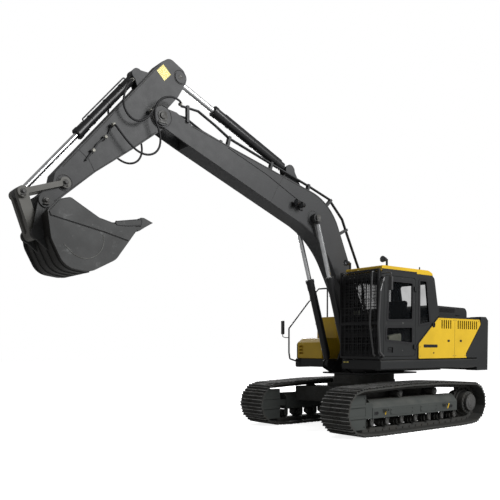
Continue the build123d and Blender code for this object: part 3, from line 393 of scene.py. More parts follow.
class Finish(Nodes):
    """A material being made, with one shader."""

    def __init__(self, name, colour, roughness=0.5, metallic=0.0, coat=0.0, specular=0.25):
        self.material = bpy.data.materials.new(name)
        super().__init__(self.material, "ShaderNodeOutputMaterial")
        self.colour = (*colour[:3], 1.0)
        self.shader = self.add("ShaderNodeBsdfPrincipled", None, {
            "Base Color": self.colour, "Roughness": roughness, "Metallic": metallic, "Coat Weight": coat,
            "Specular IOR Level": specular,
        })
        self.surface(self.shader)
        self.material.diffuse_color = self.colour
        self.place = self.add("ShaderNodeTexCoord", out="Object")

    def set(self, socket, value):
        """Feeds one of the shader's own sockets."""
        self.feed(self.shader.socket.node.inputs[socket], value)

    def noise(self, scale, detail=3.0, roughness=0.55, stretch=None):
        """Noise on Object coordinates, which may be stretched along the axes."""
        place = self.place
        if stretch:
            place = self.add("ShaderNodeMapping", None, {"Vector": place, "Scale": stretch})
        values = {"Vector": place, "Scale": scale, "Detail": detail, "Roughness": roughness}
        return self.add("ShaderNodeTexNoise", None, values)

    def ribs(self, way, scale):
        """Even waves along one axis."""
        values = {"Vector": self.place, "Scale": scale}
        return self.add("ShaderNodeTexWave", {"bands_direction": way}, values)

    def part(self, vector, axis):
        """One of the three numbers in a vector."""
        return self.add("ShaderNodeSeparateXYZ", None, {0: vector}, out="XYZ".index(axis))

    def normal(self, axis):
        """How far the surface faces along an axis, from -1 to 1."""
        return self.part(self.add("ShaderNodeNewGeometry", out="Normal"), axis)

    def between(self, value, start, end):
        """0 up to start, 1 from end on, smooth between. Where end is the lower, it runs downwards."""
        values = {0: value, 1: start, 2: end}
        return self.add("ShaderNodeMapRange", {"interpolation_type": "SMOOTHSTEP"}, values)

    def mix(self, mask, first, second):
        """A colour from first, where the mask is 0, to second, where it is 1."""
        return self.add("ShaderNodeMix", {"data_type": "RGBA"}, {0: mask, 6: first, 7: second}, out=2)

    def bump(self, height, distance, strength):
        """Relief by a height; the distance is in metres."""
        values = {"Height": height, "Distance": distance, "Strength": strength}
        self.set("Normal", self.add("ShaderNodeBump", None, values))

    def shade(self, factor):
        """The finish's own colour, lighter or darker."""
        return (*(min(1.0, channel * factor) for channel in self.colour[:3]), 1.0)


# colours that lie over a finish
DUST = (0.36, 0.33, 0.28, 1)
SOIL = (0.060, 0.055, 0.047, 1)
# painted shade for the bucket's wrapper, the faces that do not look sideways
BUCKET_SHADE = (0.017, 0.0155, 0.013, 1)
SHADOW = (0.006, 0.006, 0.0065, 1)
EYE_PAINT = (0.035, 0.035, 0.036, 1)


def in_cab(finish):
    """1 on the cab's inner faces, 0 on its outer ones: the product of a soft step at each wall."""
    x, y, z = (finish.part(finish.place, axis) for axis in "XYZ")
    x = x - SWING_X
    within = finish.between(x, 0.988, 0.986)
    for value, outside, inside in (
        (y, 0.434, 0.436),  # right wall
        (y, 1.308, 1.306),  # door
        (z, 1.395, 1.400),  # floor
        (z, 2.943, 2.940),  # roof
        (x + (2.985 - z) * 0.217, -0.535, -0.530),  # the back's slope
        (x - (2.225 - z) * 1.1875, -0.700, -0.690),  # the back's foot
    ):
        within = within * finish.between(value, outside, inside)
    return within


def in_slots(finish):
    """1 in the side panels' slots: between their outer and inner faces, and below their tops."""
    y, z = finish.part(finish.place, "Y"), finish.part(finish.place, "Z")
    outer = finish.between(y * y, 1.351 ** 2, 1.348 ** 2)
    inner = finish.between(y * y, 1.317 ** 2, 1.319 ** 2)
    return outer * inner * finish.between(z, 2.21, 2.2)


def sprayed_paint(name, colour, roughness, coat, dust, inside=None):
    """Sprayed paint on plate: faint mottling, orange peel, fine scuffs, and dust where it faces up.

    Where the mask of inside is 1, it is in shadow: near black, and without gloss.
    """
    finish = Finish(name, colour, roughness, 0.0, coat)
    mottle = finish.between(finish.noise(1.7, 4), 0.3, 0.7)
    body = finish.mix(mottle, finish.shade(0.93), finish.shade(1.07))
    scuffs = finish.between(finish.noise(38, 6, 0.7, (1, 1, 0.35)), 0.62, 0.74)
    body = finish.mix(scuffs * 0.25, body, finish.shade(1.5))
    facing_up = finish.between(finish.normal("Z"), 0.55, 0.95)
    settled = facing_up * finish.between(finish.noise(5, 5), 0.25, 0.75) * dust
    body = finish.mix(settled, body, DUST)
    if inside is not None:
        hidden = inside(finish)
        body = finish.mix(hidden, body, SHADOW)
        finish.set("Metallic", hidden)
        finish.set("Coat Weight", coat - hidden * coat)
    finish.set("Base Color", body)
    finish.set("Roughness", roughness + finish.noise(9, 4) * 0.12 + settled * 0.4 - 0.06)
    finish.bump(finish.noise(420, 2), 0.0004, 0.35)
    return finish.material


def track_steel(name, colour):
    """Bare and part-painted steel that rubs on soil: dark, with brown hollows and bright rubbed spots."""
    finish = Finish(name, colour, 0.55, 0.55)
    soil = finish.between(finish.noise(6, 6, 0.65), 0.42, 0.66)
    rubbed = finish.between(finish.noise(27, 5, 0.7), 0.58, 0.72)
    body = finish.mix(soil * 0.5, finish.colour, SOIL)
    finish.set("Base Color", finish.mix(rubbed * 0.45, body, finish.shade(2.6)))
    finish.set("Roughness", 0.62 - rubbed * 0.22 + soil * 0.15)
    finish.bump(finish.noise(160, 5, 0.7), 0.0012, 0.5)
    return finish.material


def bucket_paint(name, colour):
    """Thin paint on thick plate: mottled, scratched down the plate, and darker on the curved wrapper as painted
    shade.
    """
    finish = Finish(name, colour, 0.5, 0.25)
    wide = finish.between(finish.noise(2.6, 5), 0.35, 0.7)
    # painted shade: faces that do not look sideways, the curved wrapper, are darkened
    sideways = finish.normal("Y")
    wrapper = 1.0 - finish.between(sideways * sideways, 0.3, 0.7)
    scratch = finish.between(finish.noise(24, 7, 0.75, (0.25, 3, 0.25)), 0.57, 0.7)
    body = finish.mix(wide, finish.shade(0.85), finish.shade(1.2))
    body = finish.mix(scratch * 0.35, body, finish.shade(2.2))
    finish.set("Base Color", finish.mix(wrapper * 0.8, body, BUCKET_SHADE))
    finish.set("Roughness", 0.55 - scratch * 0.15)
    finish.bump(finish.noise(90, 5), 0.0009, 0.4)
    return finish.material


def chromed_rod(name, colour, eye=None, reach=0.0):
    """Hard chrome with a thin film of oil; painted within a distance of the rod's eye."""
    finish = Finish(name, colour, 0.16, 1.0)
    film = finish.noise(14, 4)
    body = finish.mix(finish.between(film, 0.35, 0.7), finish.shade(0.9), finish.shade(1.1))
    rough = 0.2 + film * 0.03
    if eye is not None:
        values = {0: finish.place, 1: (1, 0, 1)}
        flat = finish.add("ShaderNodeVectorMath", {"operation": "MULTIPLY"}, values)
        values = {0: flat, 1: (eye[0] + SWING_X, 0.0, eye[1])}
        away = finish.add("ShaderNodeVectorMath", {"operation": "DISTANCE"}, values, out=1)
        shiny = finish.between(away, reach, reach + 0.004)
        body = finish.mix(shiny, EYE_PAINT, body)
        rough = 0.42 - shiny * 0.42 + shiny * rough
        finish.set("Metallic", shiny)
    finish.set("Base Color", body)
    finish.set("Roughness", rough)
    return finish.material


def tinted_glass(name, colour):
    """Tinted safety glass: mostly clear, with a sharp reflection."""
    finish = Finish(name, colour, 0.04, specular=0.15)
    smear = finish.between(finish.noise(3.5, 4), 0.4, 0.8)
    finish.set("Alpha", 0.3 + smear * 0.08)
    finish.set("Roughness", 0.03 + smear * 0.05)
    return finish.material


def hose_rubber(name, colour):
    """Rubber hose with a faint wrapped texture."""
    finish = Finish(name, colour, 0.55)
    wear = finish.between(finish.noise(60, 4), 0.4, 0.75)
    finish.set("Base Color", finish.mix(wear, finish.colour, finish.shade(2.0)))
    finish.bump(finish.noise(700, 2), 0.0005, 0.5)
    return finish.material


def seat_cloth(name, colour):
    """Woven seat cloth: two crossed sets of fine threads."""
    finish = Finish(name, colour, 0.9)
    weave = finish.ribs("Y", 160.0) * finish.ribs("Z", 160.0)
    finish.set("Base Color", finish.mix(weave, finish.shade(0.7), finish.shade(1.8)))
    finish.bump(weave, 0.0008, 0.6)
    return finish.material


def moulded_plastic(name, colour):
    """Moulded plastic with a fine grain."""
    finish = Finish(name, colour)
    grain = finish.noise(500, 3)
    body = finish.mix(finish.between(grain, 0.4, 0.7), finish.shade(0.85), finish.shade(1.2))
    finish.set("Base Color", body)
    finish.bump(grain, 0.0004, 0.4)
    return finish.material


def lamp_lens(name, colour):
    """Clear ribbed lens with a bright bowl behind it."""
    finish = Finish(name, colour, 0.1, 0.3, 0.5)
    ribs = finish.ribs("Y", 45.0)
    finish.set("Base Color", finish.mix(ribs, finish.shade(0.55), finish.colour))
    finish.bump(ribs, 0.001, 0.5)
    return finish.material


def colour_setting(name, description, default):
    """A colour that a user can set."""
    return bpy.props.FloatVectorProperty(
        name=name, description=description, default=default, subtype="COLOR", size=3, min=0.0, max=1.0
    )


def number_setting(name, description, default, unit="LENGTH"):
    """A number above zero that a user can set."""
    return bpy.props.FloatProperty(
        name=name, description=description, default=default, min=0.001, unit=unit
    )


class PaintColours(bpy.types.PropertyGroup):
    """Colours of the machine's finishes."""

    grey: colour_setting("Boom grey", "Paint of the boom and the arm", (0.038, 0.039, 0.0405))
    dark: colour_setting("Body grey", "Paint of cab, deck and counterweight", (0.019, 0.020, 0.0205))
    rail: colour_setting("Rail grey", "Paint of the handrails and mirrors", (0.05, 0.05, 0.051))
    label: colour_setting("Label yellow", "Blank labels and deck marks", (0.72, 0.62, 0.16))
    yellow: colour_setting("Panel yellow", "Paint of the body panels and the roof", (0.60, 0.385, 0.018))
    steel: colour_setting("Track steel", "Tracks and rollers", (0.062, 0.063, 0.060))
    bucket: colour_setting("Bucket paint", "Bucket and teeth", (0.047, 0.048, 0.048))
    link: colour_setting("Link paint", "Links between arm and bucket", (0.115, 0.113, 0.103))
    black: colour_setting("Black paint", "Cylinders, guard and plastic", (0.012, 0.012, 0.013))
    chrome: colour_setting("Chrome", "Cylinder rods", (0.78, 0.79, 0.8))
    glass: colour_setting("Glass tint", "Cab windows", (0.004, 0.005, 0.006))
    rubber: colour_setting("Rubber", "Hoses and window seals", (0.011, 0.011, 0.012))
    cloth: colour_setting("Seat cloth", "Operator's seat", (0.007, 0.007, 0.008))
    lens: colour_setting("Lamp lens", "Work lamps", (0.10, 0.105, 0.11))
    frame: colour_setting("Track frame", "Painted parts of the track frames", (0.05, 0.055, 0.052))
    console: colour_setting("Console", "Pale consoles and display in the cab", (0.36, 0.37, 0.30))


class FittingSizes(bpy.types.PropertyGroup):
    """Sizes of the small fittings."""

    hose: number_setting("Hose diameter", "Outer diameter of the arm's hoses", 0.032)
    wire: number_setting("Guard wire", "Thickness of the windscreen guard's wires", 0.009)
    mesh: number_setting("Guard mesh", "Distance between the guard's wires", 0.055)
    bolt: number_setting("Shoe bolt", "Width of a track bolt's head", 0.034)
    weld: number_setting("Weld width", "Width of the weld beads on the arm and boom", 0.012)


class StudioLevels(bpy.types.PropertyGroup):
    """Strengths of the studio's lights."""

    key: number_setting("Key light", "Power of the large lamp", 4300.0, "POWER")
    side: number_setting("Side light", "Power of the side lamp", 2200.0, "POWER")
    sky: number_setting("Sky", "Strength of the even light all round", 0.26, "NONE")


# ---------------------------------------------------------------- places
# halves are measured across the machine from a part's own middle, faces from the machine's
GAUGE_HALF, SHOE_HALF = 1.195, 0.350
LINK_MIDDLE, LINK_HALF, LINK_PITCH = 0.072, 0.025, 0.190
# outwards from the chain's line: the face of a shoe, and the tips of its bars
SHOE_FACE, BAR_TIP = 0.0495, 0.0690
# places on a shoe: the bars as shares of half its pitch, and its bolts in metres
BAR_SHARES, SHOE_BOLTS_ALONG = (-0.795, 0.0, 0.795), (-0.0364, 0.0364)
SHOE_BOLTS_ACROSS = (-0.115, -0.055, 0.055, 0.115)
ROLLER_FIRST, ROLLER_LAST, ROLLER_Z, ROLLER_CIRCLE = -1.230, 1.250, 0.202, 0.126
CARRIER_FRONT, CARRIER_REAR, CARRIER_Z, CARRIER_CIRCLE = 0.400, -0.670, 0.722, 0.123
IDLER_X, SPROCKET_X, END_WHEEL_Z, PIN_CIRCLE = 1.650, -1.690, 0.445, 0.352
TRACK_FRAME_FACE, IDLER_GUARD_FACE = 1.385, 1.378
ROLLER_FACE, CARRIER_FACE, DRIVE_FACE = 1.360, 1.295, 1.440
FRAME_HOLES = [rectangle(x - 0.05, x + 0.05, 0.37, 0.43, 0.029) for x in (1.16, -1.08)]
CAB_LEFT, CAB_RIGHT, CAB_FRONT = 1.335, 0.385, 1.030
GUARD_X, GUARD_Y, GUARD_Z = 1.0675, (0.395, 1.332), (1.405, 2.990)
PANEL_FACE, SILL_FACE = 1.3565, 1.3449
BOOM_HALF, ARM_HALF, BUCKET_HALF = 0.1855, 0.1485, 0.5605
ARM_PIN, ARM_SLOPE = (4.800, 5.170), -40.5
BUCKET_PIN, BUCKET_SLOPE = (6.6326, 3.6049), -173.1


def on_arm(*points):
    """Points (u, v) along the arm from its pin and above its line, as (x, z)."""
    return slanted(ARM_PIN, ARM_SLOPE, *points)


def on_bucket(*points):
    """Points (u, v) from the bucket's pin towards its teeth and out of its mouth, as (x, z)."""
    return slanted(BUCKET_PIN, BUCKET_SLOPE, *points)


BOOM_FOOT, BOOM_EYE = (0.180, 1.825), (1.620, 4.000)
ARM_EYE, IDLER_PIN, ROD_PIN = on_arm((-0.716, 0.299))[0], on_arm((1.994, 0.036))[0], (6.921, 3.692)
DOOR_WINDOWS = [
    [(0.095, 2.105, 0.045), (0.095, 2.820, 0.045), (0.790, 2.820, 0.045), (0.825, 2.080, 0.045)],
    [(0.095, 1.655, 0.045), (0.095, 1.985, 0.045), (0.850, 1.965, 0.045), (0.860, 1.715, 0.045)],
]
QUARTER_WINDOW = [
    (-0.105, 2.010, 0.04), (-0.095, 2.890, 0.04), (-0.330, 2.890, 0.045), (-0.450, 2.060, 0.045),
]
RIGHT_WINDOW = [
    (-0.4, 2.15, 0.06), (-0.4, 2.86, 0.06), (0.88, 2.86, 0.06), (0.90, 1.95, 0.06), (0.0, 1.95, 0.06),
]
# the tank's top and cap, and the fields of studs on it, on the hood's shoulders and on the tool box
TANK_TOP, TANK_CAP, STUD_SPACING = 2.2505, (-0.25, -1.02), 0.06
STUD_FIELDS = [
    (-2.05, -0.90, 1.04, 1.26, 2.2005), (-2.05, -0.90, -1.26, -1.04, 2.2005),
    (-0.48, 0.02, -1.24, -0.84, TANK_TOP), (0.13, 0.58, -1.16, -0.66, 1.7805),
]

FINISHES = {}

# paints: setting that holds the colour, roughness, coat, dust, and mask of what is in shadow
PAINTS = {
    "grey_paint": ("grey", 0.5, 0.0, 0.18),
    "yellow_paint": ("yellow", 0.34, 0.4, 0.1, in_slots),
    "link_paint": ("link", 0.5, 0.0, 0.25),
    "black_paint": ("black", 0.4, 0.2, 0.12),
    "body_paint": ("dark", 0.42, 0.08, 0.15, in_cab),
    "rail_paint": ("rail", 0.3, 0.5, 0.1),
    "label_paint": ("label", 0.4, 0.1, 0.0),
    "frame_paint": ("frame", 0.55, 0.0, 0.3),
}
# colours of the steels that no setting changes
STEELS = {
    "worn_steel": (0.06, 0.058, 0.055),
    "pale_steel": (0.10, 0.10, 0.098),
    # bar tips: worn steel, painted brighter still as a highlight along the edges
    "worn_edges": (0.42, 0.42, 0.41),
    "weld_steel": (0.16, 0.16, 0.155),
    # weld beads, lighter than the paint round them: a painted highlight along the plates' edges
    "bead_steel": (0.075, 0.075, 0.077),
    "zinc": (0.34, 0.335, 0.30),
}
# rods: eye as (x, z), and how far from it the paint reaches
RODS = {
    "boom_rods": (BOOM_EYE, 0.120),
    "arm_rod": (ARM_EYE, 0.130),
    "bucket_rod": (ROD_PIN, 0.110),
}
# nodes that look different from the rest of their slot
OWN_FINISH = {
    "cab_body": "body_paint", "cab_door": "body_paint", "swing_frame": "body_paint",
    "counterweight": "body_paint", "engine_hood": "body_paint", "handrails": "rail_paint",
    "mirrors": "rail_paint", "track_frame_left": "frame_paint", "track_frame_right": "frame_paint",
    "boom_cylinder_rods": "boom_rods", "arm_cylinder_rod": "arm_rod", "bucket_cylinder_rod": "bucket_rod",
}


def make_finishes(paint):
    """One material for each slot of the record, and a few for single nodes and the added pieces."""
    for name, (setting, *looks) in PAINTS.items():
        FINISHES[name] = sprayed_paint(name, getattr(paint, setting), *looks)
    for name, colour in STEELS.items():
        FINISHES[name] = track_steel(name, colour)
    for name, (eye, reach) in RODS.items():
        FINISHES[name] = chromed_rod(name, paint.chrome, eye, reach)
    for name, make, colour in (
        ("track_steel", track_steel, paint.steel), ("bucket_paint", bucket_paint, paint.bucket),
        ("chrome", chromed_rod, paint.chrome), ("glass", tinted_glass, paint.glass),
        ("hose_rubber", hose_rubber, paint.rubber), ("seat_fabric", seat_cloth, paint.cloth),
        ("plastic", moulded_plastic, paint.black), ("console", moulded_plastic, paint.console),
        ("lens", lamp_lens, paint.lens),
    ):
        FINISHES[name] = make(name, colour)


# ---------------------------------------------------------------- pieces
class EXCAVATOR_OT_paint(bpy.types.Operator):
    """Gives every piece of the frame its finish"""

    bl_idname = "excavator.paint"
    bl_label = "Paint the frame"

    def execute(self, context):
        make_finishes(context.scene.excavator_paint)
        for row in frame["record"]["subparts"]:
            materials = NODES[row["node"]].data.materials
            materials.clear()
            materials.append(FINISHES[OWN_FINISH.get(row["node"], row["material_slot"])])
        return {"FINISHED"}


def chain_pins():
    """Pins of the chain and the ways from each to the next, as (x, z).

    The line is made of tangents and arcs round rollers, idler, carrier rollers and sprocket. It is cut at an
    even pitch, once for the run on the ground and once for the rest.
    """
    discs = np.array([
        (ROLLER_FIRST, ROLLER_Z, ROLLER_CIRCLE), (ROLLER_LAST, ROLLER_Z, ROLLER_CIRCLE),
        (IDLER_X, END_WHEEL_Z, PIN_CIRCLE), (CARRIER_FRONT, CARRIER_Z, CARRIER_CIRCLE),
        (CARRIER_REAR, CARRIER_Z, CARRIER_CIRCLE), (SPROCKET_X, END_WHEEL_Z, PIN_CIRCLE),
    ])
    following = np.roll(discs, -1, axis=0)
    step = following[:, :2] - discs[:, :2]
    lean = np.arcsin((discs[:, 2] - following[:, 2]) / np.linalg.norm(step, axis=1))
    way = np.arctan2(step[:, 1], step[:, 0]) + lean - np.pi / 2
    arcs = []
    for index, (x, z, radius) in enumerate(discs):
        turn = (way[index] - way[index - 1]) % (2 * np.pi)
        angle = way[index - 1] + np.linspace(0, turn, max(2, int(turn * 24) + 2))
        arcs.append(np.stack([x + radius * np.cos(angle), z + radius * np.sin(angle)], -1))
    line = np.vstack([arcs[0][-1:], *arcs[1:], arcs[0]])
    reach = np.concatenate([[0], np.cumsum(np.linalg.norm(np.diff(line, axis=0), axis=1))])
    ground, rest = reach[1], reach[-1] - reach[1]
    on_ground, above = round(ground / LINK_PITCH), round(rest / LINK_PITCH)
    places = [np.arange(on_ground) * ground / on_ground, ground + np.arange(above) * rest / above]
    pins = np.column_stack([np.interp(np.concatenate(places), reach, line[:, axis]) for axis in (0, 1)])
    return pins, unit(np.roll(pins, -1, axis=0) - pins)


class EXCAVATOR_OT_running_gear(bpy.types.Operator):
    """Adds chain pins, shoe bolts, bar edges, roller caps, drive covers, frame covers and lashing marks"""

    bl_idname = "excavator.running_gear"
    bl_label = "Running gear"

    def execute(self, context):
        self.chain(context.scene.excavator_sizes.bolt / 2)
        self.wheels()
        self.marks()
        self.covers()
        return {"FINISHED"}

    def chain(self, head):
        """Pin ends on both rows of links, four pairs of bolts on each shoe, and bright edges on its bars, worn and
        painted brighter as a highlight.
        """
        pins, ways = chain_pins()
        gear, edges = [], []
        for side in SIDES:
            ends = on_side(pins, GAUGE_HALF + side * (LINK_MIDDLE + LINK_HALF))
            gear.append(bars(ends - (0, side * 0.002, 0), ends + (0, side * 0.014, 0), 0.024, 10))
        following = np.roll(pins, -1, axis=0)
        middle, half = (pins + following) / 2, np.linalg.norm(following - pins, axis=1)[:, None] / 2
        out = np.stack([ways[:, 1], -ways[:, 0]], -1)
        for shift in SHOE_BOLTS_ALONG:
            base = middle + ways * shift + out * SHOE_FACE
            for offset in SHOE_BOLTS_ACROSS:
                y = GAUGE_HALF + offset
                gear.append(bars(on_side(base, y), on_side(base + out * 0.016, y), head))
        # bright rods on the bars' tips: wear, and a painted highlight along their edges
        for share in BAR_SHARES:
            tip, reach = middle + ways * half * share + out * BAR_TIP, SHOE_HALF - 0.001
            near, far = (on_side(tip, GAUGE_HALF + side * reach) for side in SIDES)
            edges.append(bars(near, far, 0.0085))
        add_piece("bar_tips", both_sides(edges), "worn_edges", "undercarriage", smooth=40)
        add_piece("chain_fittings", both_sides(gear), "worn_steel", "undercarriage", smooth=40)

    def wheels(self):
        """Bolted caps on rollers and carrier rollers, and the bolted cover of each final drive."""
        caps = []
        for x in np.linspace(ROLLER_FIRST, ROLLER_LAST, 7):
            caps.append(bolted_cap((x, ROLLER_FACE, ROLLER_Z), 0.040, 0.014, 0.024, 3))
            caps.append(bolts([(x + side * 0.031, ROLLER_FACE, 0.285) for side in SIDES], 0.011, 0.012))
        for x in (CARRIER_FRONT, CARRIER_REAR):
            caps.append(bolted_cap((x, CARRIER_FACE, CARRIER_Z), 0.046, 0.022, 0.027, 4))
        add_piece("roller_caps", both_sides(caps), "pale_steel", "undercarriage")
        hub = np.array((SPROCKET_X, DRIVE_FACE, END_WHEEL_Z))
        dish = [(0.168, 0), (0.168, 0.012), (0.120, 0.020), (0.112, 0.030), (0.04, 0.034)]
        drive = [
            turned(dish, hub, sides=40), cap(hub + (0.05, 0.03, -0.05), 0.016, 0.012, 0.003),
            bolt_circle(hub + (0, 0.010, 0), 0.145, 12, 0.011, 0.014),
            bolt_circle(hub + (0, -0.055, 0), 0.198, 16, 0.013, 0.014),
        ]
        add_piece("drive_covers", both_sides(drive), "pale_steel", "undercarriage")

    def marks(self):
        """Black plates that stand in for holes, painted shade, and yellow lashing marks on the track frames' outer
        faces.
        """
        face = TRACK_FRAME_FACE
        # thin black plates on the face, where the holes are: painted shade in the holes
        holes = [plate(outline, face - 0.002, face + 0.0025, 0.001) for outline in FRAME_HOLES]
        add_piece("frame_holes", both_sides(holes), "plastic", "undercarriage", smooth=None)
        bar = [(-0.055, -0.014), (0.055, -0.014), (0.055, 0.014), (-0.055, 0.014)]
        marks = [slanted((x, 0.410), -65, *bar) for x in (0.90, -1.00)]
        marks = [plate(mark, face - 0.001, face + 0.004, 0.001) for mark in marks]
        add_piece("lashing_marks", both_sides(marks), "yellow_paint", "undercarriage", smooth=None)

    def covers(self):
        """Bolted covers and rims on the track frames; rims, bolts and inner covers on the idlers' guards."""
        face, guard = TRACK_FRAME_FACE, IDLER_GUARD_FACE
        covers = [band(outline, 0.0, 0.010, face - 0.002, face + 0.006) for outline in FRAME_HOLES]
        for first, last in ((-0.62, -0.10), (0.12, 0.78)):
            covers.append(plate(rectangle(first, last, 0.345, 0.47, 0.03), face - 0.002, face + 0.008))
            corners = [(x, z) for x in (first + 0.03, last - 0.03) for z in (0.375, 0.44)]
            covers.append(bolts(on_side(corners, face + 0.007), 0.011, 0.010))
        corners = [(1.47, 0.18), (1.75, 0.18), (1.90, 0.36), (1.90, 0.50), (1.77, 0.69), (1.47, 0.69)]
        covers.append(bolts(on_side(corners, guard - 0.001), 0.015, 0.013))
        edge = rounded([
            (1.43, 0.125, 0.03), (1.78, 0.125, 0.09), (1.95, 0.3, 0.11), (1.96, 0.56, 0.11),
            (1.8, 0.74, 0.11), (1.43, 0.74, 0.03),
        ])
        inner = 2 * GAUGE_HALF - guard
        covers.append(band(edge, 0.016, -0.002, guard - 0.002, guard + 0.005))
        covers.append(plate(edge, inner, inner + 0.018))
        for z in (END_WHEEL_Z - 0.1, END_WHEEL_Z + 0.1):
            covers.append(box((1.440, inner - 0.020, z - 0.018), (1.930, inner + 0.002, z + 0.018)))
        front = rounded([(1.24, 0.31, 0.02), (1.46, 0.31, 0.02), (1.46, 0.60, 0.02), (1.24, 0.60, 0.06)])
        covers.append(plate(front, face - 0.028, face - 0.008))
        add_piece("frame_covers", both_sides(covers), "frame_paint", "undercarriage")


class EXCAVATOR_OT_cab(bpy.types.Operator):
    """Adds guard mesh, window rubbers, wiper, lock, aerial, lenses, mirror glass and controls to the cab"""

    bl_idname = "excavator.cab"
    bl_label = "Cab fittings"

    def execute(self, context):
        self.guard(context.scene.excavator_sizes)
        self.rubbers()
        self.wiper()
        self.details()
        self.lamps()
        self.controls()
        return {"FINISHED"}

    def guard(self, sizes):
        """Two crossed layers of straight wires, which end in the members round the guard."""
        (left, right), (foot, top), radius = GUARD_Y, GUARD_Z, sizes.wire / 2
        y = np.arange(0.412 + sizes.mesh / 2, 1.315, sizes.mesh)[:, None]
        z = np.arange(1.420 + sizes.mesh / 2, 2.975, sizes.mesh)[:, None]
        behind, ahead = GUARD_X - 0.003, GUARD_X + 0.003
        upright = bars((ahead, 0, foot) + y * (0, 1, 0), (ahead, 0, top) + y * (0, 1, 0), radius)
        level = bars((behind, left, 0) + z * (0, 0, 1), (behind, right, 0) + z * (0, 0, 1), radius)
        add_piece("guard_mesh", upright + level, "black_paint", "upper", smooth=None)

    def rubbers(self):
        """Rubbers round all windows, and the dark seal along the foot of the roof cap."""
        door = [band(rounded(rows), 0.022, 0.022, 1.325, 1.340) for rows in DOOR_WINDOWS]
        add_piece("door_rubbers", door, "hose_rubber", "door", smooth=None)
        rubber = [
            band(rounded(QUARTER_WINDOW), 0.028, 0.026, 1.325, 1.340),
            band(rounded(RIGHT_WINDOW), 0.016, 0.012, 0.380, 0.393),
        ]
        for foot, top, radius in ((1.86, 2.86, 0.05), (1.48, 1.80, 0.04)):
            screen = rectangle(0.455, 1.265, foot, top, radius)
            rubber.append(band(screen, 0.016, 0.012, CAB_FRONT - 0.006, CAB_FRONT + 0.006, "yz"))
        for y in (CAB_LEFT - 0.020, CAB_RIGHT + 0.020):
            for first, last, top in ((-0.04, 0.958, 3.026), (-0.535, -0.03, 2.993)):
                rubber.append(box((first, y - 0.006, 2.984), (last, y + 0.006, top), 0.002))
        add_piece("window_rubbers", rubber, "hose_rubber", "upper", smooth=None)

    def wiper(self):
        """Wiper arm and blade over the upper windscreen."""
        x = CAB_FRONT + 0.012
        arm = rod([(x, 1.16, 1.90), (x + 0.008, 1.06, 2.24), (x + 0.008, 0.80, 2.66)], 0.008, up=(1, 0, 0))
        arm += turned([(0.022, 0), (0.022, 0.016), (0.012, 0.022)], (CAB_FRONT, 1.16, 1.90), (1, 0, 0), 16)
        add_piece("wiper_arm", arm, "pale_steel", "upper", smooth=40)
        blade = box((x - 0.006, 0.745, 2.30), (x + 0.002, 0.757, 2.80), 0.002)
        add_piece("wiper_blade", blade, "hose_rubber", "upper", smooth=None)

    def details(self):
        """Lock, screws and handle recess on the door, an aerial on the roof, and glass in the mirrors."""
        face = CAB_LEFT - 0.0005
        lock = [cap((0.388, face, 2.041), 0.019, 0.008, 0.003), cap((0.39, face, 1.53), 0.011, 0.005, 0.002)]
        for x, z in ((0.40, 2.87), (0.06, 2.45), (0.06, 1.80), (0.86, 2.03)):
            lock.append(cap((x, face, z), 0.009, 0.004, 0.002))
        add_piece("door_lock", lock, "pale_steel", "door")
        outline = rounded([
            (0.668, 1.497, 0.01), (0.668, 1.583, 0.01), (0.792, 1.583, 0.01), (0.808, 1.497, 0.01),
        ])
        recess = plate(outline, CAB_LEFT - 0.0252, CAB_LEFT - 0.0235, 0.0005)
        add_piece("door_recess", recess, "plastic", "door", smooth=None)
        profile = [(0.034, 0), (0.030, 0.012), (0.013, 0.022), (0.012, 0.060), (0.006, 0.070)]
        add_piece("roof_aerial", turned(profile, (-0.27, 1.20, 3.084), (0, 0, 1), 20), "plastic", "upper")
        for side, back, y, z, half in (
            ("right", 0.8775, -1.560, 2.020, 0.135), ("left", 0.9775, 1.560, 2.733, 0.110),
        ):
            outline = rectangle(y - 0.032, y + 0.032, z - half, z + half, 0.012)
            glass = plate(outline, back - 0.0015, back + 0.001, 0.0005, "yz")
            add_piece(f"mirror_glass_{side}", glass, "chrome", "upper", smooth=None)

    def lamps(self):
        """Ribbed lenses and rims on the four work lamps."""
        lens = [(0.050, -0.001), (0.050, 0.002), (0.034, 0.008), (0.012, 0.011)]
        rim = [(0.0585, -0.004), (0.0585, 0.003), (0.050, 0.003), (0.050, -0.004)]
        for body, fronts in (
            ("upper", ((1.032, 0.470, 3.200), (0.897, 1.270, 3.200))),
            ("boom", ((2.022, 0.300, 4.185), (2.142, 0.300, 4.215))),
        ):
            lenses = [turned(lens, front, (1, 0, 0), 24) for front in fronts]
            rims = [turned(rim, front, (1, 0, 0), 24, True) for front in fronts]
            add_piece(f"{body}_lamp_lenses", lenses, "lens", body)
            add_piece(f"{body}_lamp_rims", rims, "plastic", body)

    def controls(self):
        """Levers, pedals, a blank display and the side console, seen through the glass."""
        arm_rest = rounded([(0.30, 1.70, 0.03), (0.66, 1.70, 0.03), (0.66, 1.80, 0.03), (0.30, 1.86, 0.04)])
        pale = [plate(arm_rest, 1.10, 1.24, 0.012)]
        pale.append(box((0.925, 0.600, 2.200), (0.945, 0.740, 2.290), 0.006))
        pale += [box((0.86, y, 1.430), (0.94, y + 0.08, 1.445)) for y in (0.70, 0.82)]
        add_piece("cab_console", pale, "console", "upper")
        dark = [box((0.90, 0.46, 1.45), (0.97, 0.56, 2.10), 0.02)]
        knob = [(0.018, 0), (0.026, 0.02), (0.026, 0.05), (0.014, 0.075)]
        for y in (0.57, 1.15):
            dark.append(rod([(0.53, y, 2.09), (0.55, y, 2.16), (0.56, y, 2.21)], 0.013, 10, 0.02))
            dark.append(turned(knob, (0.56, y, 2.20), (0.1, 0, 1), 14))
        dark += [rod([(0.90, y, 1.44), (0.88, y, 1.60), (0.86, y, 1.78)], 0.010) for y in (0.745, 0.865)]
        dark.append(rod([(0.93, 0.67, 1.95), (0.93, 0.67, 2.21)], 0.012))
        add_piece("cab_levers", dark, "plastic", "upper", smooth=40)


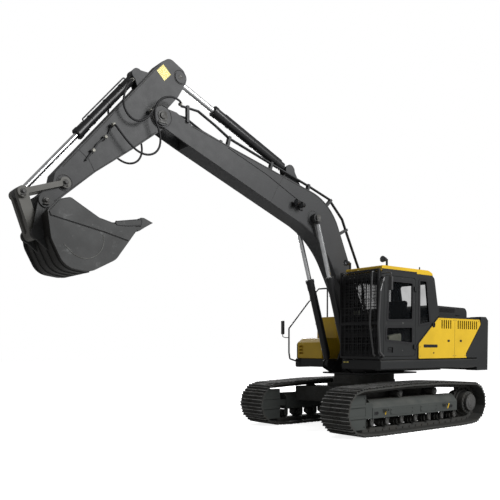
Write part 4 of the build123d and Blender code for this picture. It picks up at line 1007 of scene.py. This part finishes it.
class EXCAVATOR_OT_body(bpy.types.Operator):
    """Adds latches, a blank plate, seams, grilles, tank cap, step pads and bolts to the upper body"""

    bl_idname = "excavator.body"
    bl_label = "Body fittings"

    def execute(self, context):
        self.panels()
        self.seals()
        self.top()
        self.pads()
        self.deck()
        return {"FINISHED"}

    def panels(self):
        """Latches, handle and blank plate on the left side panel, and its screws."""
        face = PANEL_FACE
        oval = rectangle(-0.565, -0.495, 1.985, 2.075, 0.03)
        dark = [
            band(oval, 0.012, 0.004, face, face + 0.012), plate(oval, face - 0.001, face + 0.003, 0.001),
            plate(rectangle(-0.66, -0.22, 1.585, 1.645, 0.012), face, face + 0.0025, 0.001),
            cap((-0.54, face, 1.480), 0.016, 0.006, 0.002),
        ]
        corners = [
            (-0.11, 1.42), (-0.11, 1.60), (-1.19, 1.42), (-1.27, 1.42), (-1.60, 1.42), (-1.19, 2.14),
            (-1.27, 2.14), (-2.08, 2.14), (-0.73, 2.14),
        ]
        bright = [bars(on_side(corners, face - 0.001), on_side(corners, face + 0.004), 0.009, 10)]
        for x in (-1.02, -1.44):
            dark.append(plate(rectangle(x - 0.035, x + 0.035, 1.700, 1.742, 0.012), face, face + 0.009))
            bright.append(cap((x, face + 0.008, 1.721), 0.009, 0.005, 0.002))
        add_piece("panel_fittings", dark, "plastic", "upper")
        add_piece("panel_screws", bright, "pale_steel", "upper")

    def seals(self):
        """The left panel's seam, the seals along its edges, and dark plates behind its slots as painted shade."""
        slope = on_side([(-0.068, 1.380), (-0.068, 1.650), (-0.080, 1.672), (-0.690, 2.178)], 1.345)
        ridge = on_side([(-0.700, 2.180), (-2.110, 2.180)], 1.345)
        seal = [
            box((-1.233, PANEL_FACE - 0.002, 1.378), (-1.227, PANEL_FACE + 0.0012, 2.168), 0.0008),
            rod(slope, 0.007, spacing=0.03), rod(ridge, 0.005, spacing=0.1),
        ]
        # dark plates behind the slots: painted shade
        for first, last in ((-1.115, -0.765), (-2.03, -1.31)):
            seal.append(box((first, 1.300, 1.945), (last, 1.318, 2.150), 0.003))
        add_piece("panel_seals", seal, "hose_rubber", "upper", smooth=40)

    def top(self):
        """Tank cap, the hood's hinges and grilles, and rims round the lifting holes."""
        profile = [(0.072, 0), (0.072, 0.012), (0.060, 0.016), (0.058, 0.044), (0.046, 0.052)]
        x, y = TANK_CAP
        top = [turned(profile, (x, y, 2.249), (0, 0, 1))]
        top.append(box((x - 0.04, y - 0.01, 2.295), (x + 0.04, y + 0.01, 2.312), 0.005))
        for hinge_y in (0.955, -0.955):
            starts = np.array([(hinge_x - 0.06, hinge_y, 2.275) for hinge_x in (-1.10, -1.90)])
            top.append(bars(starts, starts + (0.12, 0, 0), 0.012, 12))
        add_piece("top_fittings", top, "black_paint", "upper")
        grille = [plate(rectangle(-1.80, -1.26, 2.325, 2.415, 0.02), 0.949, 0.953, 0.002)]
        for z in np.arange(2.336, 2.410, 0.016):
            grille.append(box((-1.785, 0.952, z), (-1.275, 0.960, z + 0.007), 0.002))
        add_piece("hood_grilles", both_sides(grille), "plastic", "upper")
        rim = [(0.0255, 0), (0.032, 0.0), (0.032, 0.006), (0.0255, 0.006)]
        rings = both_sides(turned(rim, (-2.48, 0.8, 2.2395), (0, 0, 1), 20, True))
        add_piece("lifting_hole_rims", rings, "pale_steel", "upper")

    def pads(self):
        """Anti-slip pads with studs on the hood's shoulders and the tool box, and studs on the tank."""
        pads = []
        for first, last, right, left, z in STUD_FIELDS:
            ranges = ((first, last), (right, left))
            rows = (np.arange(low + 0.05, high - 0.03, STUD_SPACING) for low, high in ranges)
            x, y = (values.ravel() for values in np.meshgrid(*rows))
            base = np.column_stack([x, y, np.full(x.size, z + 0.003)])
            if z == TANK_TOP:
                base = base[np.abs(base[:, :2] - TANK_CAP).sum(-1) > 0.16]
            else:
                outline = rectangle(first, last, right, left, 0.03)
                pads.append(plate(outline, z - 0.001, z + 0.004, 0.0015, "xy"))
            pads.append(bars(base, base + (0, 0, 0.005), 0.010))
        add_piece("step_pads", pads, "plastic", "upper")

    def deck(self):
        """Bolts along the left sill, and blank yellow marks at the deck's front edge."""
        sill = [(x, 1.30) for x in np.linspace(-1.30, 0.85, 12)]
        add_piece("sill_bolts", bolts(on_side(sill, SILL_FACE), 0.012, 0.010), "black_paint", "upper")
        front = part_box("swing_frame")[1][0] - SWING_X
        marks = [
            box((front - 0.001, y, 1.295), (front + 0.0015, y + 0.055, 1.320), 0.0005) for y in (0.42, 0.50)
        ]
        add_piece("deck_marks", marks, "label_paint", "upper", smooth=None)


# length and radius of each cylinder's barrel, radius of its rod, its foot, its eye and its places across
BARRELS = {
    "boom_cylinder_barrels": (1.740, 0.070, 0.042, (0.760, 1.250), BOOM_EYE, (0.280, -0.280)),
    "arm_cylinder_barrel": (1.780, 0.080, 0.048, (2.100, 4.830), ARM_EYE, (0.0,)),
    "bucket_cylinder_barrel": (1.420, 0.068, 0.040, on_arm((-0.095, 0.670))[0], ROD_PIN, (0.0,)),
}


def pin_cap(place, y, radius, height=0.030):
    """A collar and a pin's end outside a boss, with a bolted keeper bar; place is (x, z)."""
    centre, pin = np.array((place[0], y, place[1])), radius * 0.62
    profile = [
        (radius, 0), (radius, 0.006), (radius - 0.005, 0.010), (pin, 0.010), (pin, height),
        (pin - 0.005, height + 0.004),
    ]
    across_bar, low, high = radius * 0.9, -radius * 1.35, -radius * 0.95
    keeper = box(centre + (-across_bar, 0, low), centre + (across_bar, 0.012, high), 0.003)
    ends = [centre + (side * radius * 0.6, 0.011, -radius * 1.15) for side in SIDES]
    return turned(profile, centre) + keeper + bolts(ends, 0.010, 0.008)


def ferrule(x, y, z):
    """Hexagon nut and crimped sleeve round the end of a hose that leaves along Y."""
    nut = turned([(0.0165, 0), (0.026, 0), (0.026, 0.022), (0.0165, 0.022)], (x, y, z), sides=6)
    sleeve = [(0.0165, 0.021), (0.0215, 0.023), (0.0225, 0.040), (0.0205, 0.058), (0.0165, 0.060)]
    return nut + turned(sleeve, (x, y, z), sides=20)


def round_weld(centre, radius, y, width):
    """A weld bead on a circle about a centre (x, z)."""
    ring = circle(40) * radius + np.array(centre)
    return weld(on_side(np.vstack([ring, ring[:1]]), y), width)


class EXCAVATOR_OT_boom(bpy.types.Operator):
    """Adds weld beads, pin caps, grease lines and hose fittings to the boom"""

    bl_idname = "excavator.boom"
    bl_label = "Boom fittings"

    def execute(self, context):
        width = context.scene.excavator_sizes.weld
        steps = 12
        edge = rounded([
            (0.045, 1.885, 0.001), (1.174, 4.359, 1.05), (4.240, 5.124, 0.15), (4.550, 5.269, 0.10),
            (4.800, 5.296, 0.001), (4.820, 5.044, 0.001), (4.370, 4.856, 0.30), (1.396, 3.697, 1.70),
            (0.324, 1.775, 0.001),
        ], steps)
        top, underside = edge[steps:3 * steps], edge[7 * steps:8 * steps][::-1]
        beads = [weld(on_side(path, BOOM_HALF), width) for path in (top, underside)]
        seam = [(2.314, 4.700), (2.500, 4.420), (2.640, 4.160)]
        beads.append(weld(on_side(seam, BOOM_HALF), width * 0.7))
        for centre, radius in ((BOOM_EYE, 0.150), (BOOM_FOOT, 0.180), (ARM_PIN, 0.165)):
            beads.append(round_weld(centre, radius, BOOM_HALF, width))
        # the beads' lighter colour is a painted highlight along the boom's edges
        add_piece("boom_welds", both_sides(beads), "bead_steel", "boom", smooth=60)
        caps = [pin_cap(BOOM_EYE, 0.340, 0.055, 0.014), pin_cap(ARM_PIN, 0.2048, 0.085)]
        add_piece("boom_pin_caps", both_sides(caps), "pale_steel", "boom")
        grease = rod(on_side([(3.55, 4.93), (2.70, 4.62), (1.95, 4.27)], 0.190), 0.005, 6)
        add_piece("boom_grease_lines", both_sides(grease), "black_paint", "boom", smooth=40)
        add_piece("boom_fittings", both_sides(ferrule(4.520, 0.236, 5.400)), "zinc", "boom")
        return {"FINISHED"}


class EXCAVATOR_OT_arm(bpy.types.Operator):
    """Adds weld beads, pin caps, hose fittings and blank labels to the arm, and pin caps to its links"""

    bl_idname = "excavator.arm"
    bl_label = "Arm fittings"

    def execute(self, context):
        width = context.scene.excavator_sizes.weld
        upper = on_arm((1.86, 0.222), (0.60, 0.425), (-0.52, 0.606))
        lower = on_arm((0.24, -0.135), (0.70, -0.122), (1.50, -0.072), (2.28, -0.078))
        seam = on_arm((1.50, 0.27), (1.46, 0.10), (1.50, -0.07))
        beads = [
            weld(on_side(path, ARM_HALF), size)
            for path, size in ((upper, width), (lower, width), (seam, width * 0.7))
        ]
        for place, radius in ((ARM_PIN, 0.180), (IDLER_PIN, 0.112), (ARM_EYE, 0.108)):
            beads.append(round_weld(place, radius, ARM_HALF, width))
        # the beads' lighter colour is a painted highlight along the arm's edges
        add_piece("arm_welds", both_sides(beads), "bead_steel", "arm", smooth=60)
        caps = [pin_cap(on_arm((2.410, 0))[0], 0.2500, 0.044)]
        caps.append(cap(on_side([ARM_EYE], 0.1600)[0], 0.042, 0.0028, 0.001))
        add_piece("arm_pin_caps", both_sides(caps), "pale_steel", "arm")
        nut = [(0.027, 0), (0.027, 0.016), (0.020, 0.020)]
        zinc = [turned(nut, (x, 0.1955, z), sides=6) for x, z in ((5.735, 4.655), (5.925, 4.425))]
        zinc += [ferrule(x, 0.1955, z) for x, z in ((5.625, 4.850), (5.010, 5.190))]
        add_piece("arm_fittings", both_sides(zinc), "zinc", "arm")
        label = on_arm((-0.585, 0.405), (-0.415, 0.385), (-0.395, 0.565), (-0.565, 0.585))
        label = both_sides(plate(label, ARM_HALF - 0.001, ARM_HALF + 0.0015, 0.0008))
        add_piece("arm_label", label, "label_paint", "arm", smooth=None)
        links = [pin_cap(place, 0.1980, 0.040) for place in ((6.3397, 3.9025), ROD_PIN)]
        add_piece("link_pin_caps", both_sides(links), "pale_steel", "idler_links")
        return {"FINISHED"}


class EXCAVATOR_OT_bucket(bpy.types.Operator):
    """Adds side plates, welds, black lines of painted shadow along their edges, wear strips and tooth pins to the
    bucket
    """

    bl_idname = "excavator.bucket"
    bl_label = "Bucket fittings"

    def execute(self, context):
        width, side = context.scene.excavator_sizes.weld, BUCKET_HALF
        upper = on_bucket(
            (-0.055, 0.215), (0.065, 0.035), (0.205, -0.030), (0.640, 0.146), (0.840, 0.166), (1.150, 0.085),
            (1.215, 0.150), (1.105, 0.350), (0.740, 0.310), (-0.030, 0.262),
        )
        plates = both_sides(plate(upper, side - 0.001, side + 0.014))
        add_piece("bucket_side_plates", plates, "bucket_paint", "bucket")
        angle = np.radians(np.linspace(128, -22, 30))
        arc = on_bucket(*np.column_stack([0.46 + 0.28 * np.cos(angle), 0.46 + 0.28 * np.sin(angle)]))
        beads = [weld(on_side(path, side), width) for path in (arc, on_bucket((0.18, 0.60), (0.29, 0.68)))]
        add_piece("bucket_welds", both_sides(beads), "weld_steel", "bucket", smooth=60)
        cutter = on_bucket(*rounded([
            (0.850, 0.190, 0.04), (0.880, 0.120, 0.01), (1.185, 0.020, 0.01), (1.280, -0.004, 0.01),
            (1.280, 0.086, 0.01), (1.080, 0.150, 0.06),
        ]))
        # black lines round the side cutter and along the side plate's top: painted shadow under their edges
        edge = on_side(on_bucket((-0.03, 0.268), (0.74, 0.316), (1.10, 0.356)), side)
        rims = [band(cutter, 0.012, -0.001, side + 0.0155, side + 0.0205), rod(edge, 0.006, 6)]
        add_piece("bucket_rims", both_sides(rims), "hose_rubber", "bucket")
        steps = 10
        shell = rounded([
            (1.235, 0.150, 0.20), (0.950, 0.660, 0.25), (0.600, 0.905, 0.25), (0.255, 0.905, 0.26),
            (0.045, 0.560, 0.30), (-0.035, 0.200, 0.06),
        ], steps)
        wrapper = on_bucket(*shell[2 * steps + 2:5 * steps])
        section = [(-0.014, -0.050), (-0.014, 0.050), (0.014, 0.050), (0.014, -0.050)]
        strips = [carried(section, along_path(on_side(wrapper, y), 0.04)) for y in (-0.36, -0.12, 0.12, 0.36)]
        add_piece("bucket_strips", strips, "bucket_paint", "bucket")
        tooth = on_bucket((1.262, 0.060))
        ends = np.vstack([on_side(tooth, y) for y in np.linspace(-0.505, 0.505, 5)])
        pins = bars(ends - (0, 0.052, 0), ends + (0, 0.052, 0), 0.014, 12)
        add_piece("tooth_pins", pins, "pale_steel", "bucket")
        return {"FINISHED"}


class EXCAVATOR_OT_cylinders(bpy.types.Operator):
    """Adds clamp rings, bolted glands and seal lips to the cylinders, and fittings to one's ports"""

    bl_idname = "excavator.cylinders"
    bl_label = "Cylinder fittings"

    def execute(self, context):
        for body, values in BARRELS.items():
            self.barrel(body, *values)
        port = both_sides(ferrule(5.275, 0.106, 5.610))
        add_piece("port_fittings", port, "zinc", "bucket_cylinder_barrel")
        return {"FINISHED"}

    def barrel(self, body, length, radius, rod_radius, foot, eye, places):
        """Three clamp rings on a barrel; round its mouth, a lip on the rod and a circle of ten bolts."""
        way = unit(np.array([eye[0] - foot[0], 0.0, eye[1] - foot[1]]))
        square = np.cross(way, (0, 1, 0))
        inner, outer = radius - 0.001, radius + 0.006
        clamp = [(inner, -0.012), (outer, -0.012), (outer, 0.012), (inner, 0.012)]
        seal = rod_radius + 0.0008
        lip = [(seal, 0), (radius * 0.78, 0), (radius * 0.76, 0.010), (seal + 0.003, 0.014), (seal, 0.014)]
        rings, heads = [], []
        for y in places:
            origin = np.array([foot[0], y, foot[1]])
            for reach in np.linspace(0.32, length - 0.34, 3):
                rings.append(turned(clamp, origin + way * reach, way, 32, True))
            gland = origin + way * length
            rings.append(turned(lip, gland, way, 32, True))
            ring = circle(10, 0.5) * (radius + 0.002)
            base = gland + ring[:, :1] * (0, 1, 0) + ring[:, 1:] * square
            heads.append(bars(base - way * 0.001, base + way * 0.012, 0.009))
        add_piece(f"{body}_rings", rings, "black_paint", body)
        add_piece(f"{body}_bolts", heads, "pale_steel", body)


# hose routes: the bodies that each hose joins, its length, and its points
HOSES = {
    "arm_hose": ("boom", "arm", 2.197, [
        (4.520, 0.236, 5.400), (4.520, 0.306, 5.400), (4.600, 0.314, 5.440), (4.725, 0.310, 5.452),
        (4.880, 0.305, 5.385), (4.985, 0.300, 5.240), (4.990, 0.300, 5.050), (4.910, 0.300, 4.880),
        (4.890, 0.300, 4.700), (4.965, 0.300, 4.550), (5.120, 0.300, 4.480), (5.290, 0.300, 4.510),
        (5.430, 0.297, 4.620), (5.548, 0.283, 4.745), (5.625, 0.266, 4.850), (5.625, 0.196, 4.850),
    ]),
    "bucket_hose": ("bucket_cylinder_barrel", "arm", 1.310, [
        (5.275, 0.106, 5.610), (5.275, 0.176, 5.610), (5.330, 0.225, 5.560), (5.415, 0.255, 5.465),
        (5.470, 0.262, 5.330), (5.490, 0.262, 5.150), (5.400, 0.260, 5.010), (5.260, 0.255, 4.965),
        (5.120, 0.258, 5.030), (5.045, 0.266, 5.120), (5.010, 0.268, 5.190), (5.010, 0.196, 5.190),
    ]),
}


def smooth_line(route):
    """Points along the smooth spline that has a route's points as its control points."""
    curve = bpy.data.curves.new("route", "CURVE")
    curve.dimensions = "3D"
    spline = curve.splines.new("NURBS")
    spline.points.add(len(route) - 1)
    spline.points.foreach_set("co", np.column_stack([route, np.ones(len(route))]).ravel())
    spline.order_u = 3
    spline.use_endpoint_u = True
    spline.resolution_u = 12
    holder = bpy.data.objects.new("route", curve)
    mesh = bpy.data.meshes.new_from_object(holder)
    line = np.empty(len(mesh.vertices) * 3)
    mesh.vertices.foreach_get("co", line)
    bpy.data.objects.remove(holder)
    bpy.data.curves.remove(curve)
    bpy.data.meshes.remove(mesh)
    line = line.reshape(-1, 3)
    steps = np.linalg.norm(np.diff(line, axis=0), axis=1)
    return line[np.concatenate([[True], steps > 1e-5])]


class EXCAVATOR_OT_hoses(bpy.types.Operator):
    """Makes the hoses over the arm's pin and to the bucket cylinder, as fixed shapes along their routes"""

    bl_idname = "excavator.hoses"
    bl_label = "Hoses"

    def execute(self, context):
        diameter = context.scene.excavator_sizes.hose
        section, shift = circle(20) * diameter / 2, np.array((SWING_X, 0, 0))
        for node, (first, second, length, route) in HOSES.items():
            for side, word in zip(SIDES, ("left", "right")):
                line = smooth_line(np.array(route) * (1, side, 1) + shift)
                shape = carried(section, line - shift, (0.3, 0.9 * side, 0.3))
                piece = add_piece(f"{node}_{word}_rubber", shape, "hose_rubber", second, smooth=60)
                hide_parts(f"{node}_{word}")
                piece.parent = None
                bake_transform(piece)
        return {"FINISHED"}


class EXCAVATOR_OT_stage(bpy.types.Operator):
    """Pale floor, soft lamps and the camera"""

    bl_idname = "excavator.stage"
    bl_label = "Stage"

    def execute(self, context):
        scene, levels = context.scene, context.scene.excavator_studio
        self.floor(scene)
        self.sky(scene, levels.sky)
        self.lamp(scene, "key_lamp", (-5.0, 16.5, 12.0), (0.0, 0.0, 2.5), 9.0, levels.key)
        self.lamp(scene, "side_lamp", (-7.0, -15.0, 9.0), (0.0, 0.0, 2.0), 8.0, levels.side)
        self.camera(scene)
        return {"FINISHED"}

    def floor(self, scene):
        """A wide plane; the camera sees it near white, and the machine gets the light of a mid-grey floor."""
        half = 60.0
        mesh = bpy.data.meshes.new("floor")
        corners = [(-half, -half, 0), (half, -half, 0), (half, half, 0), (-half, half, 0)]
        mesh.from_pydata(corners, [], [(0, 1, 2, 3)])
        floor = bpy.data.objects.new("floor", mesh)
        scene.collection.objects.link(floor)
        finish = Finish("floor", (0.4, 0.4, 0.4), 0.9)
        seen = finish.add("ShaderNodeBsdfPrincipled", None, {
            "Base Color": (0.8, 0.8, 0.8, 1), "Roughness": 1.0, "Emission Color": (1, 1, 1, 1),
            "Emission Strength": 0.85,
        })
        camera = finish.add("ShaderNodeLightPath", out="Is Camera Ray")
        finish.surface(finish.add("ShaderNodeMixShader", None, {0: camera, 1: finish.shader, 2: seen}))
        mesh.materials.append(finish.material)

    def sky(self, scene, strength):
        """Even light all round; the camera sees white instead, also through clear glass."""
        scene.world = bpy.data.worlds.new("studio")
        nodes = Nodes(scene.world, "ShaderNodeOutputWorld")
        white = (1, 1, 1, 1)
        lit = nodes.add("ShaderNodeBackground", None, {"Color": white, "Strength": strength})
        seen = nodes.add("ShaderNodeBackground", None, {"Color": white})
        camera = nodes.add("ShaderNodeLightPath", out="Is Camera Ray")
        through = nodes.add("ShaderNodeLightPath", out="Is Transmission Ray")
        nodes.surface(nodes.add("ShaderNodeMixShader", None, {0: camera + through, 1: lit, 2: seen}))

    def lamp(self, scene, name, place, aim, size, power):
        """A square area lamp that points from its place to its aim."""
        data = bpy.data.lights.new(name, "AREA")
        data.shape, data.size, data.energy = "SQUARE", size, power
        lamp = bpy.data.objects.new(name, data)
        scene.collection.objects.link(lamp)
        lamp.location = place
        x, y, z = np.array(place, float) - np.array(aim, float)
        lamp.rotation_euler = (math.atan2(math.hypot(x, y), z), 0.0, math.atan2(x, -y))

    def camera(self, scene):
        """Low in front of the machine's left corner, with a little rise so that the boom fits."""
        data = bpy.data.cameras.new("camera")
        data.sensor_width, data.lens = 36.0, 45.78
        data.shift_x, data.shift_y = -0.063, 0.2516
        data.clip_end = 200.0
        camera = bpy.data.objects.new("camera", data)
        scene.collection.objects.link(camera)
        heading, pitch = -2.266, -0.045
        camera.location = (7.69, 9.067, 1.592)
        camera.rotation_euler = (math.pi / 2 + pitch, 0.0, heading - math.pi / 2)
        scene.camera = camera
        scene.view_settings.view_transform = "Standard"


OPERATORS = [
    EXCAVATOR_OT_paint,
    EXCAVATOR_OT_running_gear,
    EXCAVATOR_OT_cab,
    EXCAVATOR_OT_body,
    EXCAVATOR_OT_boom,
    EXCAVATOR_OT_arm,
    EXCAVATOR_OT_bucket,
    EXCAVATOR_OT_cylinders,
    EXCAVATOR_OT_hoses,
    EXCAVATOR_OT_stage,
]
SETTINGS = {
    "excavator_paint": PaintColours,
    "excavator_sizes": FittingSizes,
    "excavator_studio": StudioLevels,
}


class EXCAVATOR_PT_panel(bpy.types.Panel):
    """Lists the steps that dress the excavator"""

    bl_idname = "EXCAVATOR_PT_panel"
    bl_label = "Crawler excavator"
    bl_space_type = "VIEW_3D"
    bl_region_type = "UI"
    bl_category = "Excavator"

    def draw(self, context):
        for operator in OPERATORS:
            self.layout.operator(operator.bl_idname)
        for name, group in SETTINGS.items():
            column = self.layout.column()
            for setting in group.__annotations__:
                column.prop(getattr(context.scene, name), setting)


def register():
    for name, group in SETTINGS.items():
        bpy.utils.register_class(group)
        setattr(bpy.types.Scene, name, bpy.props.PointerProperty(type=group))
    for item in (*OPERATORS, EXCAVATOR_PT_panel):
        bpy.utils.register_class(item)


def unregister():
    for item in (EXCAVATOR_PT_panel, *reversed(OPERATORS)):
        bpy.utils.unregister_class(item)
    for name, group in SETTINGS.items():
        delattr(bpy.types.Scene, name)
        bpy.utils.unregister_class(group)


def main():
    """Registers the add-on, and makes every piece."""
    register()
    for operator in OPERATORS:
        group, name = operator.bl_idname.split(".")
        getattr(getattr(bpy.ops, group), name)()


if __name__ == "__main__":
    main()
